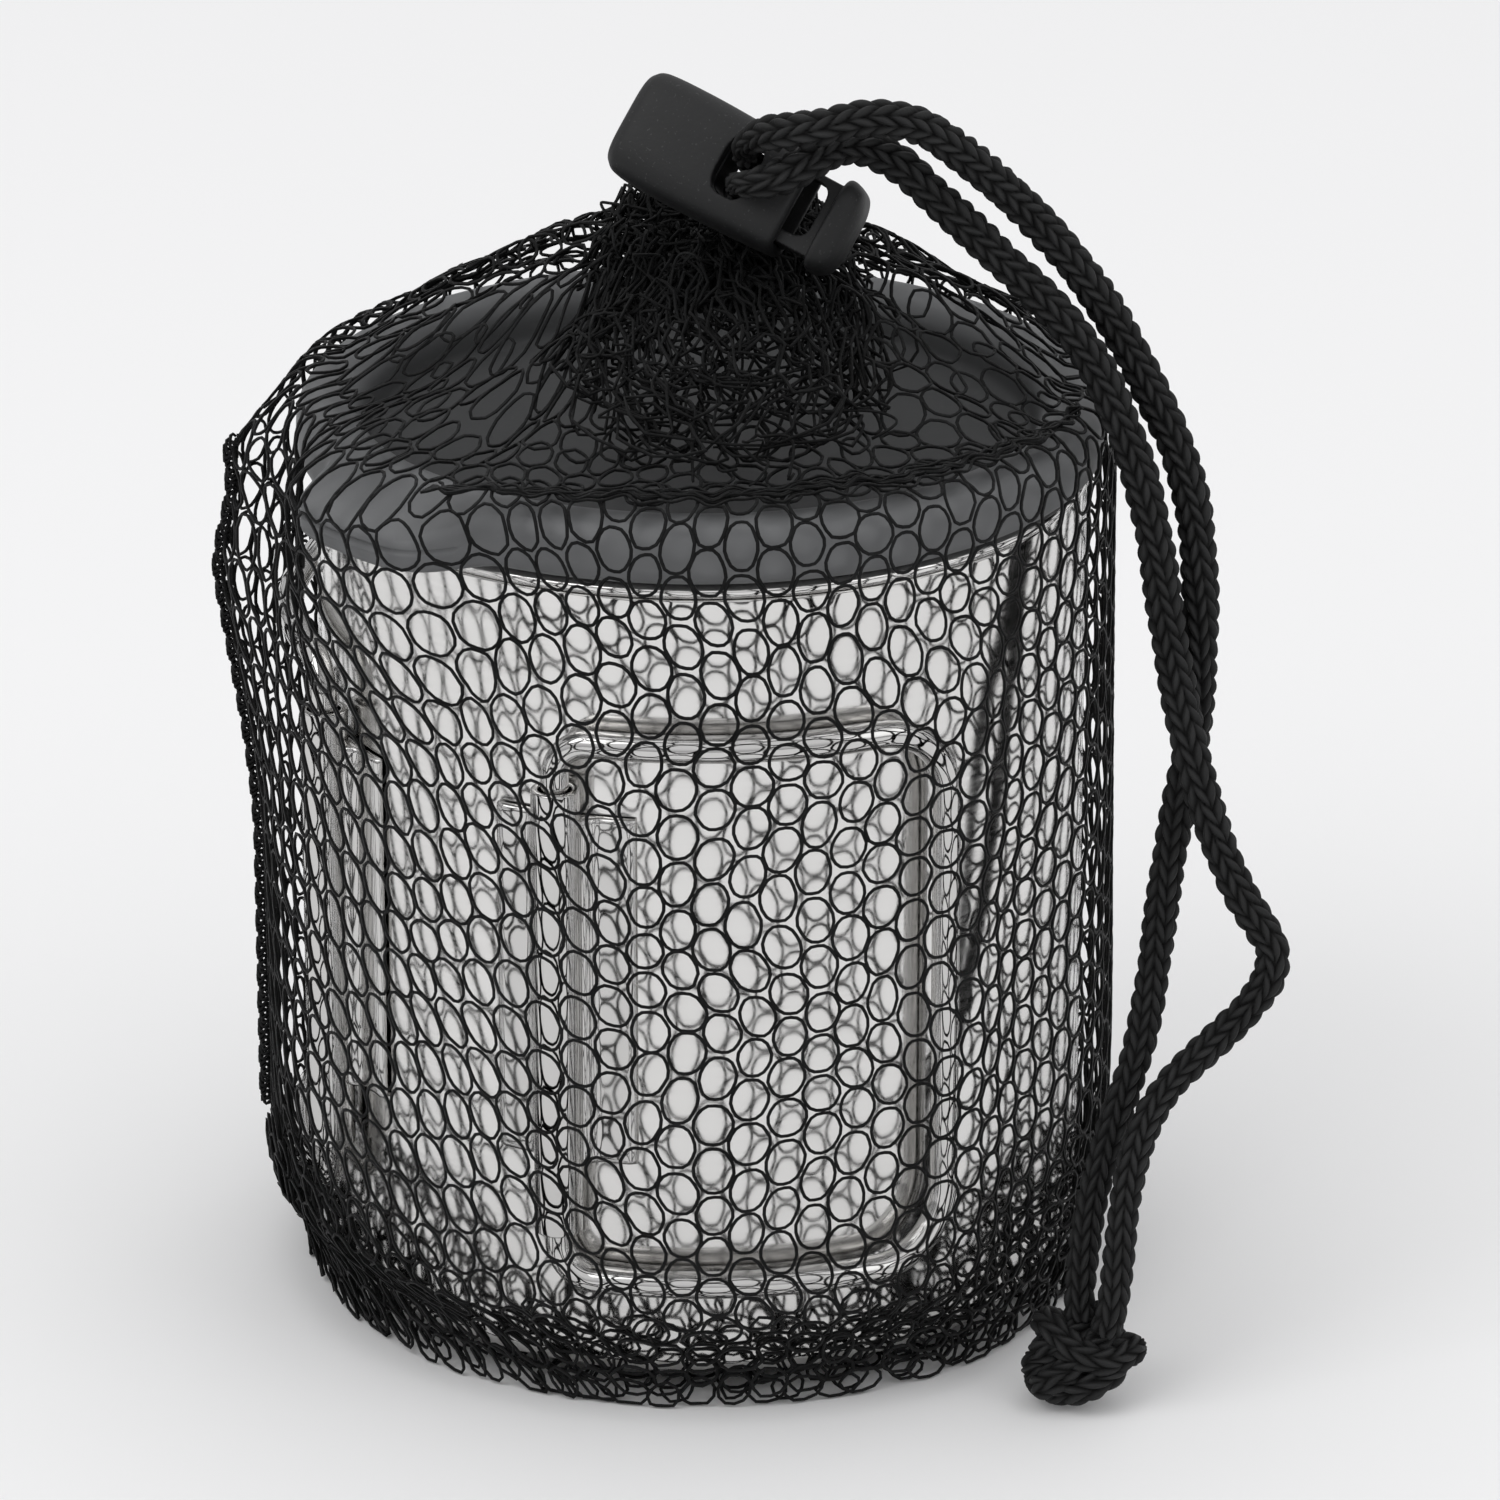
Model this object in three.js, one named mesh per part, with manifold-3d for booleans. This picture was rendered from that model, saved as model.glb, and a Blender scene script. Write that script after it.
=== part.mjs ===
// Camping mug with two folding wire handles and a plastic lid, packed in a knitted drawstring bag.
// Millimetres. +Z is up, the mug's axis is the Z axis, and the bag stands on z = 0.
// Angles round the mug are measured from -Y towards +X.
import * as THREE from "three";
import { mergeVertices } from "three/addons/utils/BufferGeometryUtils.js";
import Module from "manifold-3d";

// ---- driving dimensions ----
const GAP = 0.3; // air kept between neighbouring pieces
const AROUND = 48; // facets round the mug
const DEG = Math.PI / 180;

const BAG_BASE_THICK = 1.8;
const MUG_BOTTOM = BAG_BASE_THICK + GAP;
const WALL_R = 42; // outside of the mug
const SHEET = 0.6; // steel sheet
const WALL_TOP = 92.8;
const LIP_TOP = 94.6;
const BORE_R = 38.6; // inside of the mug

const LID_R = 44;
const LID_UNDER = 94.9;
const LID_TOP = 101.6;
const WELL_FLOOR = 96;
const TAB_ANGLE = -47;
const TAB_REACH = 51.5;

const WIRE = 3; // handle wire
const HINGE_R = 45; // hinge pins and folded handles lie on this radius
const FRONT_HINGE = -19.8;
const SIDE_HINGE = -64.5;
const LOOP_SPAN = 55.4; // degrees that a folded handle covers
const ARM_TOP = 77.2;
const ARM_LOW = 15.2;
const BARREL_LOW = 20.6;
const BARREL_TOP = 71.8;

const BAG_R = 44.9; // inside of the bag where it lies on the plain wall
const BAG_THICK = 1;
const BAG_SPLIT = 14; // the bunched bottom ends and the single net begins
const SHOULDER = 98;
const THROAT = new THREE.Vector3(2, 2.5, 0);
const THROAT_R = 7;
const THROAT_Z = 110.2;

const LOCK_C = new THREE.Vector3(3.7, -4, 127); // on the lock's long axis, at its cord hole
const LOCK_U = new THREE.Vector3(0.8581, -0.3575, -0.3685).normalize(); // along the lock
const LOCK_H = new THREE.Vector3(-0.169, -0.8744, 0.4548).normalize(); // along its cord hole
const LOCK_V = new THREE.Vector3().crossVectors(LOCK_H, LOCK_U).normalize(); // across, upwards
const PRESS = 3.4; // plunger travel

const CORD = 4; // free cord
const SQUEEZED = 2.8; // the same cord inside the lock and the hem

// ---- materials ----
const finish = (color, roughness, metalness) =>
  new THREE.MeshStandardMaterial({ color, roughness, metalness });
const STEEL = finish(0xd8d8d6, 0.06, 1);
const LID = finish(0x5a5c5e, 0.45, 0);
const RUBBER = finish(0x9a9c9e, 0.6, 0);
const NET = finish(0x121314, 0.85, 0);
const LOCK = finish(0x1b1c1e, 0.5, 0);
const BRAID = finish(0x0d0e0f, 0.8, 0);

const wasm = await Module();
wasm.setup();

// ---- helpers ----
// The same geometry as a manifold-3d solid, facing out.
function solid(geometry) {
  const bare = geometry.clone();
  bare.deleteAttribute("normal");
  bare.deleteAttribute("uv");
  const merged = mergeVertices(bare, 1e-4);
  const vertProperties = new Float32Array(merged.attributes.position.array);
  const triVerts = new Uint32Array(merged.index.array);
  const made = new wasm.Manifold(new wasm.Mesh({ numProp: 3, vertProperties, triVerts }));
  if (made.volume() > 0) return made;
  for (let i = 0; i < triVerts.length; i += 3) {
    [triVerts[i + 1], triVerts[i + 2]] = [triVerts[i + 2], triVerts[i + 1]];
  }
  return new wasm.Manifold(new wasm.Mesh({ numProp: 3, vertProperties, triVerts }));
}

// A manifold-3d solid as a three.js geometry.
function geometryOf(body) {
  const m = body.getMesh();
  const positions = new Float32Array(m.numVert * 3);
  for (let i = 0; i < m.numVert; i++) {
    positions.set(m.vertProperties.subarray(i * m.numProp, i * m.numProp + 3), i * 3);
  }
  const g = new THREE.BufferGeometry();
  g.setAttribute("position", new THREE.BufferAttribute(positions, 3));
  g.setIndex(new THREE.BufferAttribute(new Uint32Array(m.triVerts), 1));
  g.computeVertexNormals();
  return g;
}

// A turned solid about Z from [radius, height] pairs. An open profile starts and ends on the axis.
function turned(profile, around = AROUND) {
  const points = profile.map(([r, z]) => new THREE.Vector2(r, z));
  if (profile[0][0] > 0) points.push(points[0].clone());
  return new THREE.LatheGeometry(points, around).rotateX(Math.PI / 2);
}

// A closed skin through rings of equally many points. Its two ends are closed by fans.
function lofted(rings) {
  const n = rings[0].length;
  const positions = [];
  const index = [];
  rings.forEach((ring) => ring.forEach((p) => positions.push(p.x, p.y, p.z)));
  for (let k = 0; k + 1 < rings.length; k++) {
    for (let i = 0; i < n; i++) {
      const j = (i + 1) % n;
      index.push(k * n + i, k * n + j, (k + 1) * n + j);
      index.push(k * n + i, (k + 1) * n + j, (k + 1) * n + i);
    }
  }
  [0, rings.length - 1].forEach((k) => {
    const middle = new THREE.Vector3();
    rings[k].forEach((p) => middle.addScaledVector(p, 1 / n));
    positions.push(middle.x, middle.y, middle.z);
    const c = positions.length / 3 - 1;
    for (let i = 0; i < n; i++) {
      const j = (i + 1) % n;
      if (k === 0) index.push(c, k * n + j, k * n + i);
      else index.push(c, k * n + i, k * n + j);
    }
  });
  const g = new THREE.BufferGeometry();
  g.setAttribute("position", new THREE.Float32BufferAttribute(positions, 3));
  g.setIndex(index);
  return g;
}

// A closed skin through rings that follow one another back to the first one.
function ringShell(rings) {
  const n = rings[0].length;
  const positions = [];
  const index = [];
  rings.forEach((ring) => ring.forEach((p) => positions.push(p.x, p.y, p.z)));
  for (let k = 0; k < rings.length; k++) {
    const next = (k + 1) % rings.length;
    for (let i = 0; i < n; i++) {
      const j = (i + 1) % n;
      index.push(k * n + i, k * n + j, next * n + j);
      index.push(k * n + i, next * n + j, next * n + i);
    }
  }
  const g = new THREE.BufferGeometry();
  g.setAttribute("position", new THREE.Float32BufferAttribute(positions, 3));
  g.setIndex(index);
  return g;
}

// A round bar of the given diameter along a smooth curve through the points.
function bar(points, diameter, steps, sides = 8) {
  const section = new THREE.Shape();
  for (let i = 0; i <= sides; i++) {
    const a = (2 * Math.PI * i) / sides;
    const x = (diameter / 2) * Math.cos(a);
    const y = (diameter / 2) * Math.sin(a);
    if (i === 0) section.moveTo(x, y);
    else section.lineTo(x, y);
  }
  const extrudePath = new THREE.CatmullRomCurve3(points, false, "centripetal");
  return new THREE.ExtrudeGeometry(section, { steps, extrudePath, bevelEnabled: false });
}

// The point at an angle round the mug.
function polar(angle, radius, z) {
  return new THREE.Vector3(radius * Math.sin(angle * DEG), -radius * Math.cos(angle * DEG), z);
}

// A point in the cord lock's own directions: along, across, through.
function inLock(u, v, h) {
  return LOCK_C.clone()
    .addScaledVector(LOCK_U, u)
    .addScaledVector(LOCK_V, v)
    .addScaledVector(LOCK_H, h);
}

// 0 below a, 1 above b, smooth between.
function step(a, b, x) {
  return THREE.MathUtils.smoothstep(x, a, b);
}

const root = new THREE.Group();
root.name = "packed_camping_mug";

function piece(parent, name, shape, material) {
  const body = shape.isBufferGeometry ? solid(shape) : shape;
  const mesh = new THREE.Mesh(geometryOf(body), material);
  mesh.name = name;
  parent.add(mesh);
}

// ---- the mug ----
function outerWall() {
  return turned(
    [
      [37.5, MUG_BOTTOM], [39.4, MUG_BOTTOM], [41, 2.9], [41.8, 4.3], [WALL_R, 6],
      [WALL_R, WALL_TOP], [WALL_R - SHEET, WALL_TOP], [WALL_R - SHEET, 6.1],
      [41.2, 4.6], [40.6, 3.5], [39.2, 2.7], [37.5, 2.7],
    ],
    64,
  );
}

function innerWall() {
  const rim = WALL_R + 0.8;
  return turned([
    [0, 7], [34.6, 7], [37.6, 8.2], [39.1, 10.8], [BORE_R + SHEET, 14], [BORE_R + SHEET, 90.6],
    [40, 92.4], [41.2, 93.1], [WALL_R + 0.5, 93.1], [rim, 93.5], [rim, 94.1], [42.2, 94.5],
    [41.2, LIP_TOP], [40, 94.3], [39, 93], [BORE_R, 90.6], [BORE_R, 14.2], [38.4, 11.2],
    [37, 8.9], [34.4, 7.7], [0, 7.7],
  ]);
}

function baseCap() {
  const rim = 37.5 - GAP;
  return turned([
    [0, 3.5], [34.8, 3.5], [36, MUG_BOTTOM], [rim, MUG_BOTTOM], [rim, 3.2], [36.4, 4.2], [0, 4.2],
  ]);
}

// One pressed plate with a rolled barrel standing off its middle, curved to the wall.
function hingePlate(angle) {
  const inner = WALL_R + GAP;
  const outer = inner + 0.7;
  const halfSpan = 10.6;
  const facets = 10;
  const plate = [];
  [28, 68].forEach((z) => {
    const ring = [];
    for (let i = 0; i <= facets; i++) {
      ring.push(polar(angle - halfSpan + (2 * halfSpan * i) / facets, outer, z));
    }
    for (let i = facets; i >= 0; i--) {
      ring.push(polar(angle - halfSpan + (2 * halfSpan * i) / facets, inner, z));
    }
    plate.push(ring);
  });
  const barrel = new THREE.CylinderGeometry(2.6, 2.6, BARREL_TOP - BARREL_LOW, 16);
  const bore = new THREE.CylinderGeometry(1.8, 1.8, 80, 16);
  const at = polar(angle, HINGE_R, (BARREL_TOP + BARREL_LOW) / 2);
  [barrel, bore].forEach((g) => g.rotateX(Math.PI / 2).translate(at.x, at.y, at.z));
  return solid(lofted(plate)).add(solid(barrel)).subtract(solid(bore));
}

// A wire loop that lies round the wall, its two ends turned in towards each other at the hinge.
function wireHandle(hinge, direction) {
  const small = 4;
  const large = 8.5;
  const width = LOOP_SPAN * DEG * HINGE_R;
  const flat = [[0, 62], [0, ARM_TOP - small - 2]];
  const corner = (cs, cz, r, from) => {
    for (let i = 0; i <= 6; i++) {
      const a = (from - (90 * i) / 6) * DEG;
      flat.push([cs + r * Math.cos(a), cz + r * Math.sin(a)]);
    }
  };
  const along = (s0, s1, z) => {
    for (let i = 1; i < 8; i++) flat.push([s0 + ((s1 - s0) * i) / 8, z]);
  };
  corner(small, ARM_TOP - small, small, 180);
  along(small, width - large, ARM_TOP);
  corner(width - large, ARM_TOP - large, large, 90);
  corner(width - large, ARM_LOW + large, large, 0);
  along(width - large, small, ARM_LOW);
  corner(small, ARM_LOW + small, small, 270);
  flat.push([0, ARM_LOW + small + 2], [0, 31]);
  const points = flat.map(([s, z]) => polar(hinge + (direction * s) / HINGE_R / DEG, HINGE_R, z));
  return bar(points, WIRE, 96, 10);
}

// ---- the lid ----
function lidBody() {
  const disc = turned([
    [0, WELL_FLOOR], [34.6, WELL_FLOOR], [35.8, 96.5], [36.3, 97.6], [36.9, 99.6], [38, 101],
    [39.6, LID_TOP], [41.2, LID_TOP], [42.9, 101], [43.8, 99.8], [LID_R, 98.4], [LID_R, 96.4],
    [43.7, 95.4], [43, LID_UNDER], [38, LID_UNDER], [37.6, 94.5], [37.6, 91.2], [36.3, 91.2],
    [36.3, 88.8], [37.6, 88.8], [37.6, 87], [37, 86], [35.4, 86], [35, 93.4], [0, 93.4],
  ]);
  const half = 10.5;
  const corner = 7.5;
  const reach = TAB_REACH - 1.5;
  const outline = new THREE.Shape();
  outline.moveTo(-half, 40.5);
  outline.lineTo(half, 40.5);
  outline.lineTo(half, reach - corner);
  outline.absarc(half - corner, reach - corner, corner, 0, Math.PI / 2);
  outline.absarc(corner - half, reach - corner, corner, Math.PI / 2, Math.PI);
  const tab = new THREE.ExtrudeGeometry(outline, {
    depth: 2.6, bevelThickness: 1.4, bevelSize: 1.4, bevelSegments: 3, curveSegments: 8,
  });
  tab.translate(0, 0, 96.4).rotateZ(Math.PI + TAB_ANGLE * DEG);
  return solid(disc).add(solid(tab));
}

function lidSeal() {
  const outer = BORE_R - GAP;
  return turned([
    [36.6, 89.1], [37.6, 89.1], [outer, 89.6], [outer, 90.4], [37.6, 90.9], [36.6, 90.9],
  ]);
}

// ---- the bag ----
// Inside radius of the bag's net at an angle round the mug and a height.
function bagRadius(angle, z) {
  const overHandles = step(-132, -118, angle) * (1 - step(36, 50, angle));
  const handles = 3.2 * overHandles * step(6, 12, z) * (1 - step(80, 92, z));
  const foot = -1.9 * (1 - step(0, 12, z));
  const tabSide = Math.exp(-(((angle - TAB_ANGLE) / 17) ** 4));
  const tab = 7.8 * tabSide * step(84, 93, z);
  const seam = (0.8 + 5 * step(25, 95, z)) * Math.exp(-(((angle + 88) / 9) ** 2));
  return Math.max(BAG_R + handles + foot + seam, BAG_R + foot + tab);
}

const SHOULDER_CURVE = [
  [1, SHOULDER], [0.988, 101.2], [0.94, 103.3], [0.8, 104.7], [0.6, 106], [0.4, 107.7],
  [0.26, 109.2], [0, THROAT_Z],
];

// One ring of the bag, part of the way (1 rim, 0 throat) across its shoulder.
function shoulderRing(share, z, grow) {
  const ring = [];
  for (let i = 0; i < AROUND; i++) {
    const angle = -180 + (360 * i) / AROUND;
    const r = THROAT_R + (bagRadius(angle, SHOULDER) - THROAT_R) * share + grow * share;
    ring.push(polar(angle, r, z + grow * (1 - share ** 6)).addScaledVector(THROAT, 1 - share));
  }
  return ring;
}

function wallRing(z, grow) {
  const ring = [];
  for (let i = 0; i < AROUND; i++) {
    const angle = -180 + (360 * i) / AROUND;
    ring.push(polar(angle, bagRadius(angle, z) + grow, z));
  }
  return ring;
}

const WALL_HEIGHTS = [22, 50, 80, 86, 92];

function bagWall() {
  const heights = [BAG_SPLIT + GAP, ...WALL_HEIGHTS];
  const rings = [];
  heights.forEach((z) => rings.push(wallRing(z, BAG_THICK)));
  SHOULDER_CURVE.forEach(([share, z]) => rings.push(shoulderRing(share, z, BAG_THICK)));
  [...SHOULDER_CURVE].reverse().forEach(([share, z]) => rings.push(shoulderRing(share, z, 0)));
  [...heights].reverse().forEach((z) => rings.push(wallRing(z, 0)));
  return ringShell(rings);
}

const SEAM_Y = 6; // the pouch's bottom seam runs under the mug, a little off its middle
const SEAM_WIDE = 3;
const SEAM_DEEP = 1.2;

function bagBase() {
  const disc = (r, z) => wallRing(0, 0).map((p) => p.clone().setLength(r).setZ(z));
  const rings = [
    disc(40.5, 0), wallRing(3, 0.8), wallRing(8, 1.4), wallRing(BAG_SPLIT, 1.2),
    wallRing(BAG_SPLIT, 0), wallRing(9, 0), wallRing(4.4, 0), disc(41.6, BAG_BASE_THICK),
  ];
  const groove = new THREE.BoxGeometry(72, SEAM_WIDE + 2 * GAP, 2 * SEAM_DEEP);
  groove.translate(0, SEAM_Y, BAG_BASE_THICK);
  return solid(lofted(rings)).subtract(solid(groove));
}

function bottomSeam() {
  const low = BAG_BASE_THICK - SEAM_DEEP + GAP;
  const strip = new THREE.BoxGeometry(72 - 2 * GAP, SEAM_WIDE, BAG_BASE_THICK - low);
  return strip.translate(0, SEAM_Y, (BAG_BASE_THICK + low) / 2);
}

// The pouch's side seam: a thin doubled edge standing out from the net.
function sideSeam() {
  const angle = -88;
  const rings = [];
  [17, 30, 45, 60, 75, 88, 96.5].forEach((z) => {
    const near = bagRadius(angle, z) + BAG_THICK + 3 * GAP;
    const middle = polar(angle, 1, 0);
    const across = new THREE.Vector3(-middle.y, middle.x, 0);
    const corners = [[near, -0.6], [near + 2, -0.6], [near + 2, 0.6], [near, 0.6]];
    rings.push(
      corners.map(([r, s]) => polar(angle, r, z).addScaledVector(across, s)),
    );
  });
  return lofted(rings);
}

const HEM_LOW = THROAT_Z + BAG_THICK + GAP;
const HEM_TOP = HEM_LOW + 5.2;
const LOOP_R = 6;

// The hem folded over the drawstring, drawn tight: a ring of U section, open upwards.
function hemChannel() {
  const profile = [
    [3.4, HEM_LOW + 0.5], [4, HEM_LOW], [8.4, HEM_LOW], [9, HEM_LOW + 0.5], [9, HEM_TOP],
    [8.2, HEM_TOP], [8, HEM_LOW + 1], [4.1, HEM_LOW + 1], [4, HEM_TOP], [3.4, HEM_TOP],
  ];
  return turned(profile, 32).translate(THROAT.x, THROAT.y, 0);
}

// The net's cut edge outside the hem: a frill that falls back onto the shoulder.
function hemFrill() {
  const rings = [];
  const ring = (r, z, wave) => {
    const out = [];
    for (let i = 0; i < AROUND; i++) {
      const angle = -180 + (360 * i) / AROUND;
      const w = wave * Math.sin(7 * angle * DEG);
      out.push(polar(angle, r + w, z).addScaledVector(THROAT, 1 - (r - 7) / 38));
    }
    return out;
  };
  rings.push(ring(10, 112.2, 0), ring(14, 111.4, 0.3), ring(19, 110.4, 0.8), ring(23, 109.3, 1.2));
  rings.push(ring(23, 110.1, 1.2), ring(19, 111.6, 0.8), ring(14, 112.8, 0.3), ring(10, 113.6, 0));
  return ringShell(rings);
}

// ---- the drawstring and its lock ----
const LEG_HIGH = 2.05;
const LEG_LOW = -1.05;

// The cord held by the bag: through the lock, round inside the hem and back through the lock.
function drawstringLoop() {
  const ringZ = HEM_LOW + 3;
  const points = [inLock(1, 2.3, 5.9), inLock(1, LEG_HIGH, 4), inLock(1, LEG_HIGH, -7)];
  points.push(new THREE.Vector3(7.3, 5, 123.6), new THREE.Vector3(7.7, 6.4, 121.2));
  points.push(new THREE.Vector3(7, 6.6, 118));
  for (let a = 40; a >= -270; a -= 22) {
    const x = THROAT.x + LOOP_R * Math.cos(a * DEG);
    points.push(new THREE.Vector3(x, THROAT.y + LOOP_R * Math.sin(a * DEG), ringZ));
  }
  points.push(new THREE.Vector3(2.6, 8.2, 117.4), new THREE.Vector3(4.2, 6.4, 120));
  points.push(inLock(1, LEG_LOW, -7), inLock(1, LEG_LOW, 4), inLock(1, -1.3, 5.9));
  return bar(points, SQUEEZED, 80, 8);
}

// A section of the lock at u: a rounded oblong, half v by half h.
function lockSection(u, v, h) {
  const ring = [];
  const power = 2 / 3.4;
  for (let i = 0; i < 28; i++) {
    const a = (2 * Math.PI * i) / 28;
    const c = Math.cos(a);
    const s = Math.sin(a);
    ring.push(inLock(u, v * Math.sign(c) * Math.abs(c) ** power, h * Math.sign(s) * Math.abs(s) ** power));
  }
  return ring;
}

// A straight-sided block in the lock's directions, from lowest to highest [u, v, h].
function lockBlock([u0, v0, h0], [u1, v1, h1]) {
  const at = (u) => [inLock(u, v0, h0), inLock(u, v1, h0), inLock(u, v1, h1), inLock(u, v0, h1)];
  return solid(lofted([at(u0), at(u1)]));
}

function lockBody() {
  const shell = lofted([
    lockSection(-13, 4.9, 3.4), lockSection(-12.4, 5.7, 4.2), lockSection(-11, 6.2, 4.7),
    lockSection(-6, 6.3, 5.1), lockSection(0, 6.2, 5.1), lockSection(6.8, 5.9, 4.6),
    lockSection(7.7, 5.6, 4.3), lockSection(8, 5.2, 3.9),
  ]);
  return solid(shell)
    .subtract(lockBlock([-9.4, -4.6, -3], [9, 4.6, 3]))
    .subtract(lockBlock([-1, -2.9, -7], [3, 3.9, 7]));
}

function lockPlunger() {
  const cap = lofted([
    lockSection(11.4, 4.9, 3.9), lockSection(11.8, 5.4, 4.4), lockSection(12.8, 5.4, 4.4),
    lockSection(14, 4.6, 3.6), lockSection(14.6, 3.2, 2.2), lockSection(14.8, 1.4, 0.9),
  ]);
  return lockBlock([-5.2, -4.3, -2.7], [12.2, 4.3, 2.7])
    .add(solid(cap))
    .subtract(lockBlock([-1, -2.9, -4], [10.6, 3.6, 4]));
}

// The small coil between the plunger and the closed end.
function lockSpring() {
  const points = [];
  for (let i = 0; i <= 48; i++) {
    const a = (2 * Math.PI * i) / 16;
    points.push(inLock(-9 + (3.3 * i) / 48, 2 * Math.cos(a), 2 * Math.sin(a)));
  }
  return bar(points, 0.5, 60, 6);
}

// The two free ends of the drawstring, from the lock's face to the knot.
const REAR_CORD = [
  [4.7, -9.6, 132.1], [6.6, -12.6, 134.2], [9.8, -15, 135.4], [13.2, -15.9, 136.2],
  [16.6, -15.6, 136.9], [20.3, -14.8, 136.6], [23.8, -13.5, 135.2], [27.3, -12.5, 132.5],
  [31.5, -11, 128.5], [35.7, -9.5, 123.8], [40, -9, 118.6], [43.6, -9, 113.4],
  [46.4, -9.5, 108.4], [48.9, -10.5, 103.5], [51.1, -12, 98.9], [52.8, -14, 93.3],
  [53.5, -16, 87.5], [53.7, -18, 81.3], [53.4, -20, 74], [52.7, -22, 67.9], [51.6, -23.5, 62.7],
  [50.6, -25, 57.5], [49.8, -26.5, 52.3], [49.1, -28, 47], [48.2, -30, 41.4], [47, -32, 36.4],
  [45.2, -34, 31.4], [43.5, -36, 26.4], [42.1, -38, 21.4], [41.3, -39.8, 16.4], [40.9, -41, 11.9],
];
const NEAR_CORD = [
  [2.4, -11.4, 128.5], [2.9, -13.2, 129], [5, -14.6, 129.4], [8.2, -14.2, 130],
  [11.4, -12.8, 131.2],
  [14.2, -11.2, 132.2], [16.8, -10.4, 132.2], [19.3, -10.2, 131.3], [21.8, -10.5, 129.8],
  [24.2, -10.8, 127.5], [26.8, -11, 125.1], [29.6, -11, 122.4], [32.2, -11.2, 119.8],
  [34.9, -11.6, 117.3], [37.5, -12, 114.7], [39.9, -12.5, 112], [41.8, -13, 109.3],
  [43.4, -13.8, 106.4], [44.9, -14.8, 103], [46.5, -16, 98.9], [47.8, -17.5, 94.3],
  [48.9, -19, 89.2], [49.7, -21, 83.6], [50.6, -23, 78.7], [51.5, -25.5, 73.9], [52.7, -28, 69.2],
  [54.2, -29.5, 64], [56.1, -30.5, 58.8], [58.1, -31.5, 54.6], [60.2, -32, 51.3],
  [61.4, -32.5, 48.7], [60.9, -33, 45.7], [58.8, -33.5, 42.6], [56.1, -34, 39.8],
  [53.3, -35, 37.4], [50.6, -36, 34.9], [48.5, -37.5, 32.2], [47, -39, 29], [46, -40.6, 25.5],
  [45.4, -42.1, 22.1], [45, -43.4, 18.5], [44.6, -44.3, 14.9], [44.2, -44.8, 11.9],
];
const asPoints = (route) => route.map(([x, y, z]) => new THREE.Vector3(x, y, z));

// The overhand knot that joins the two ends, lying on the ground.
function endKnot() {
  const rings = [];
  const count = 10;
  for (let k = 0; k <= count; k++) {
    const a = Math.PI * (0.06 + (0.88 * k) / count);
    const ring = [];
    for (let i = 0; i < 20; i++) {
      const b = (2 * Math.PI * i) / 20;
      const lump = 1 + 0.07 * Math.sin(3 * b + 2 * a);
      const x = 41.2 + 6.6 * lump * Math.sin(a) * Math.cos(b);
      const y = -41.6 + 5.6 * lump * Math.sin(a) * Math.sin(b);
      ring.push(new THREE.Vector3(x, y, 4.8 - 4.4 * Math.cos(a)));
    }
    rings.push(ring);
  }
  return lofted(rings);
}

// ---- the assembly ----
const mug = new THREE.Group();
mug.name = "mug";
piece(mug, "outer_wall", outerWall(), STEEL);
piece(mug, "inner_wall", innerWall(), STEEL);
piece(mug, "base_cap", baseCap(), STEEL);
piece(mug, "front_hinge_plate", hingePlate(FRONT_HINGE), STEEL);
piece(mug, "side_hinge_plate", hingePlate(SIDE_HINGE), STEEL);
piece(mug, "front_handle", wireHandle(FRONT_HINGE, 1), STEEL);
piece(mug, "side_handle", wireHandle(SIDE_HINGE, -1), STEEL);

const lid = new THREE.Group();
lid.name = "lid";
piece(lid, "lid_body", lidBody(), LID);
piece(lid, "lid_seal", lidSeal(), RUBBER);

const bag = new THREE.Group();
bag.name = "bag";
piece(bag, "bag_wall", bagWall(), NET);
piece(bag, "bag_base", bagBase(), NET);
piece(bag, "bottom_seam", bottomSeam(), NET);
piece(bag, "side_seam", sideSeam(), NET);
piece(bag, "hem_channel", hemChannel(), NET);
piece(bag, "hem_frill", hemFrill(), NET);

const drawstring = new THREE.Group();
drawstring.name = "drawstring";
piece(drawstring, "drawstring_loop", drawstringLoop(), BRAID);
piece(drawstring, "lock_body", lockBody(), LOCK);
piece(drawstring, "lock_plunger", lockPlunger(), LOCK);
piece(drawstring, "lock_spring", lockSpring(), STEEL);
piece(drawstring, "rear_cord", bar(asPoints(REAR_CORD), CORD, 40, 10), BRAID);
piece(drawstring, "near_cord", bar(asPoints(NEAR_CORD), CORD, 44, 10), BRAID);
piece(drawstring, "end_knot", endKnot(), BRAID);

root.add(mug, lid, bag, drawstring);

export default root;
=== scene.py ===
"""Looks for a camping mug with two folding wire handles and a lid, packed in a knitted drawstring bag.

Sizes in this file are millimetres and angles are degrees round the mug's axis, from -Y towards +X. Meshes
are written in metres. The mug's axis is Z and the bag stands on z = 0.
"""

import logging
from dataclasses import dataclass
from enum import Enum

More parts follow.
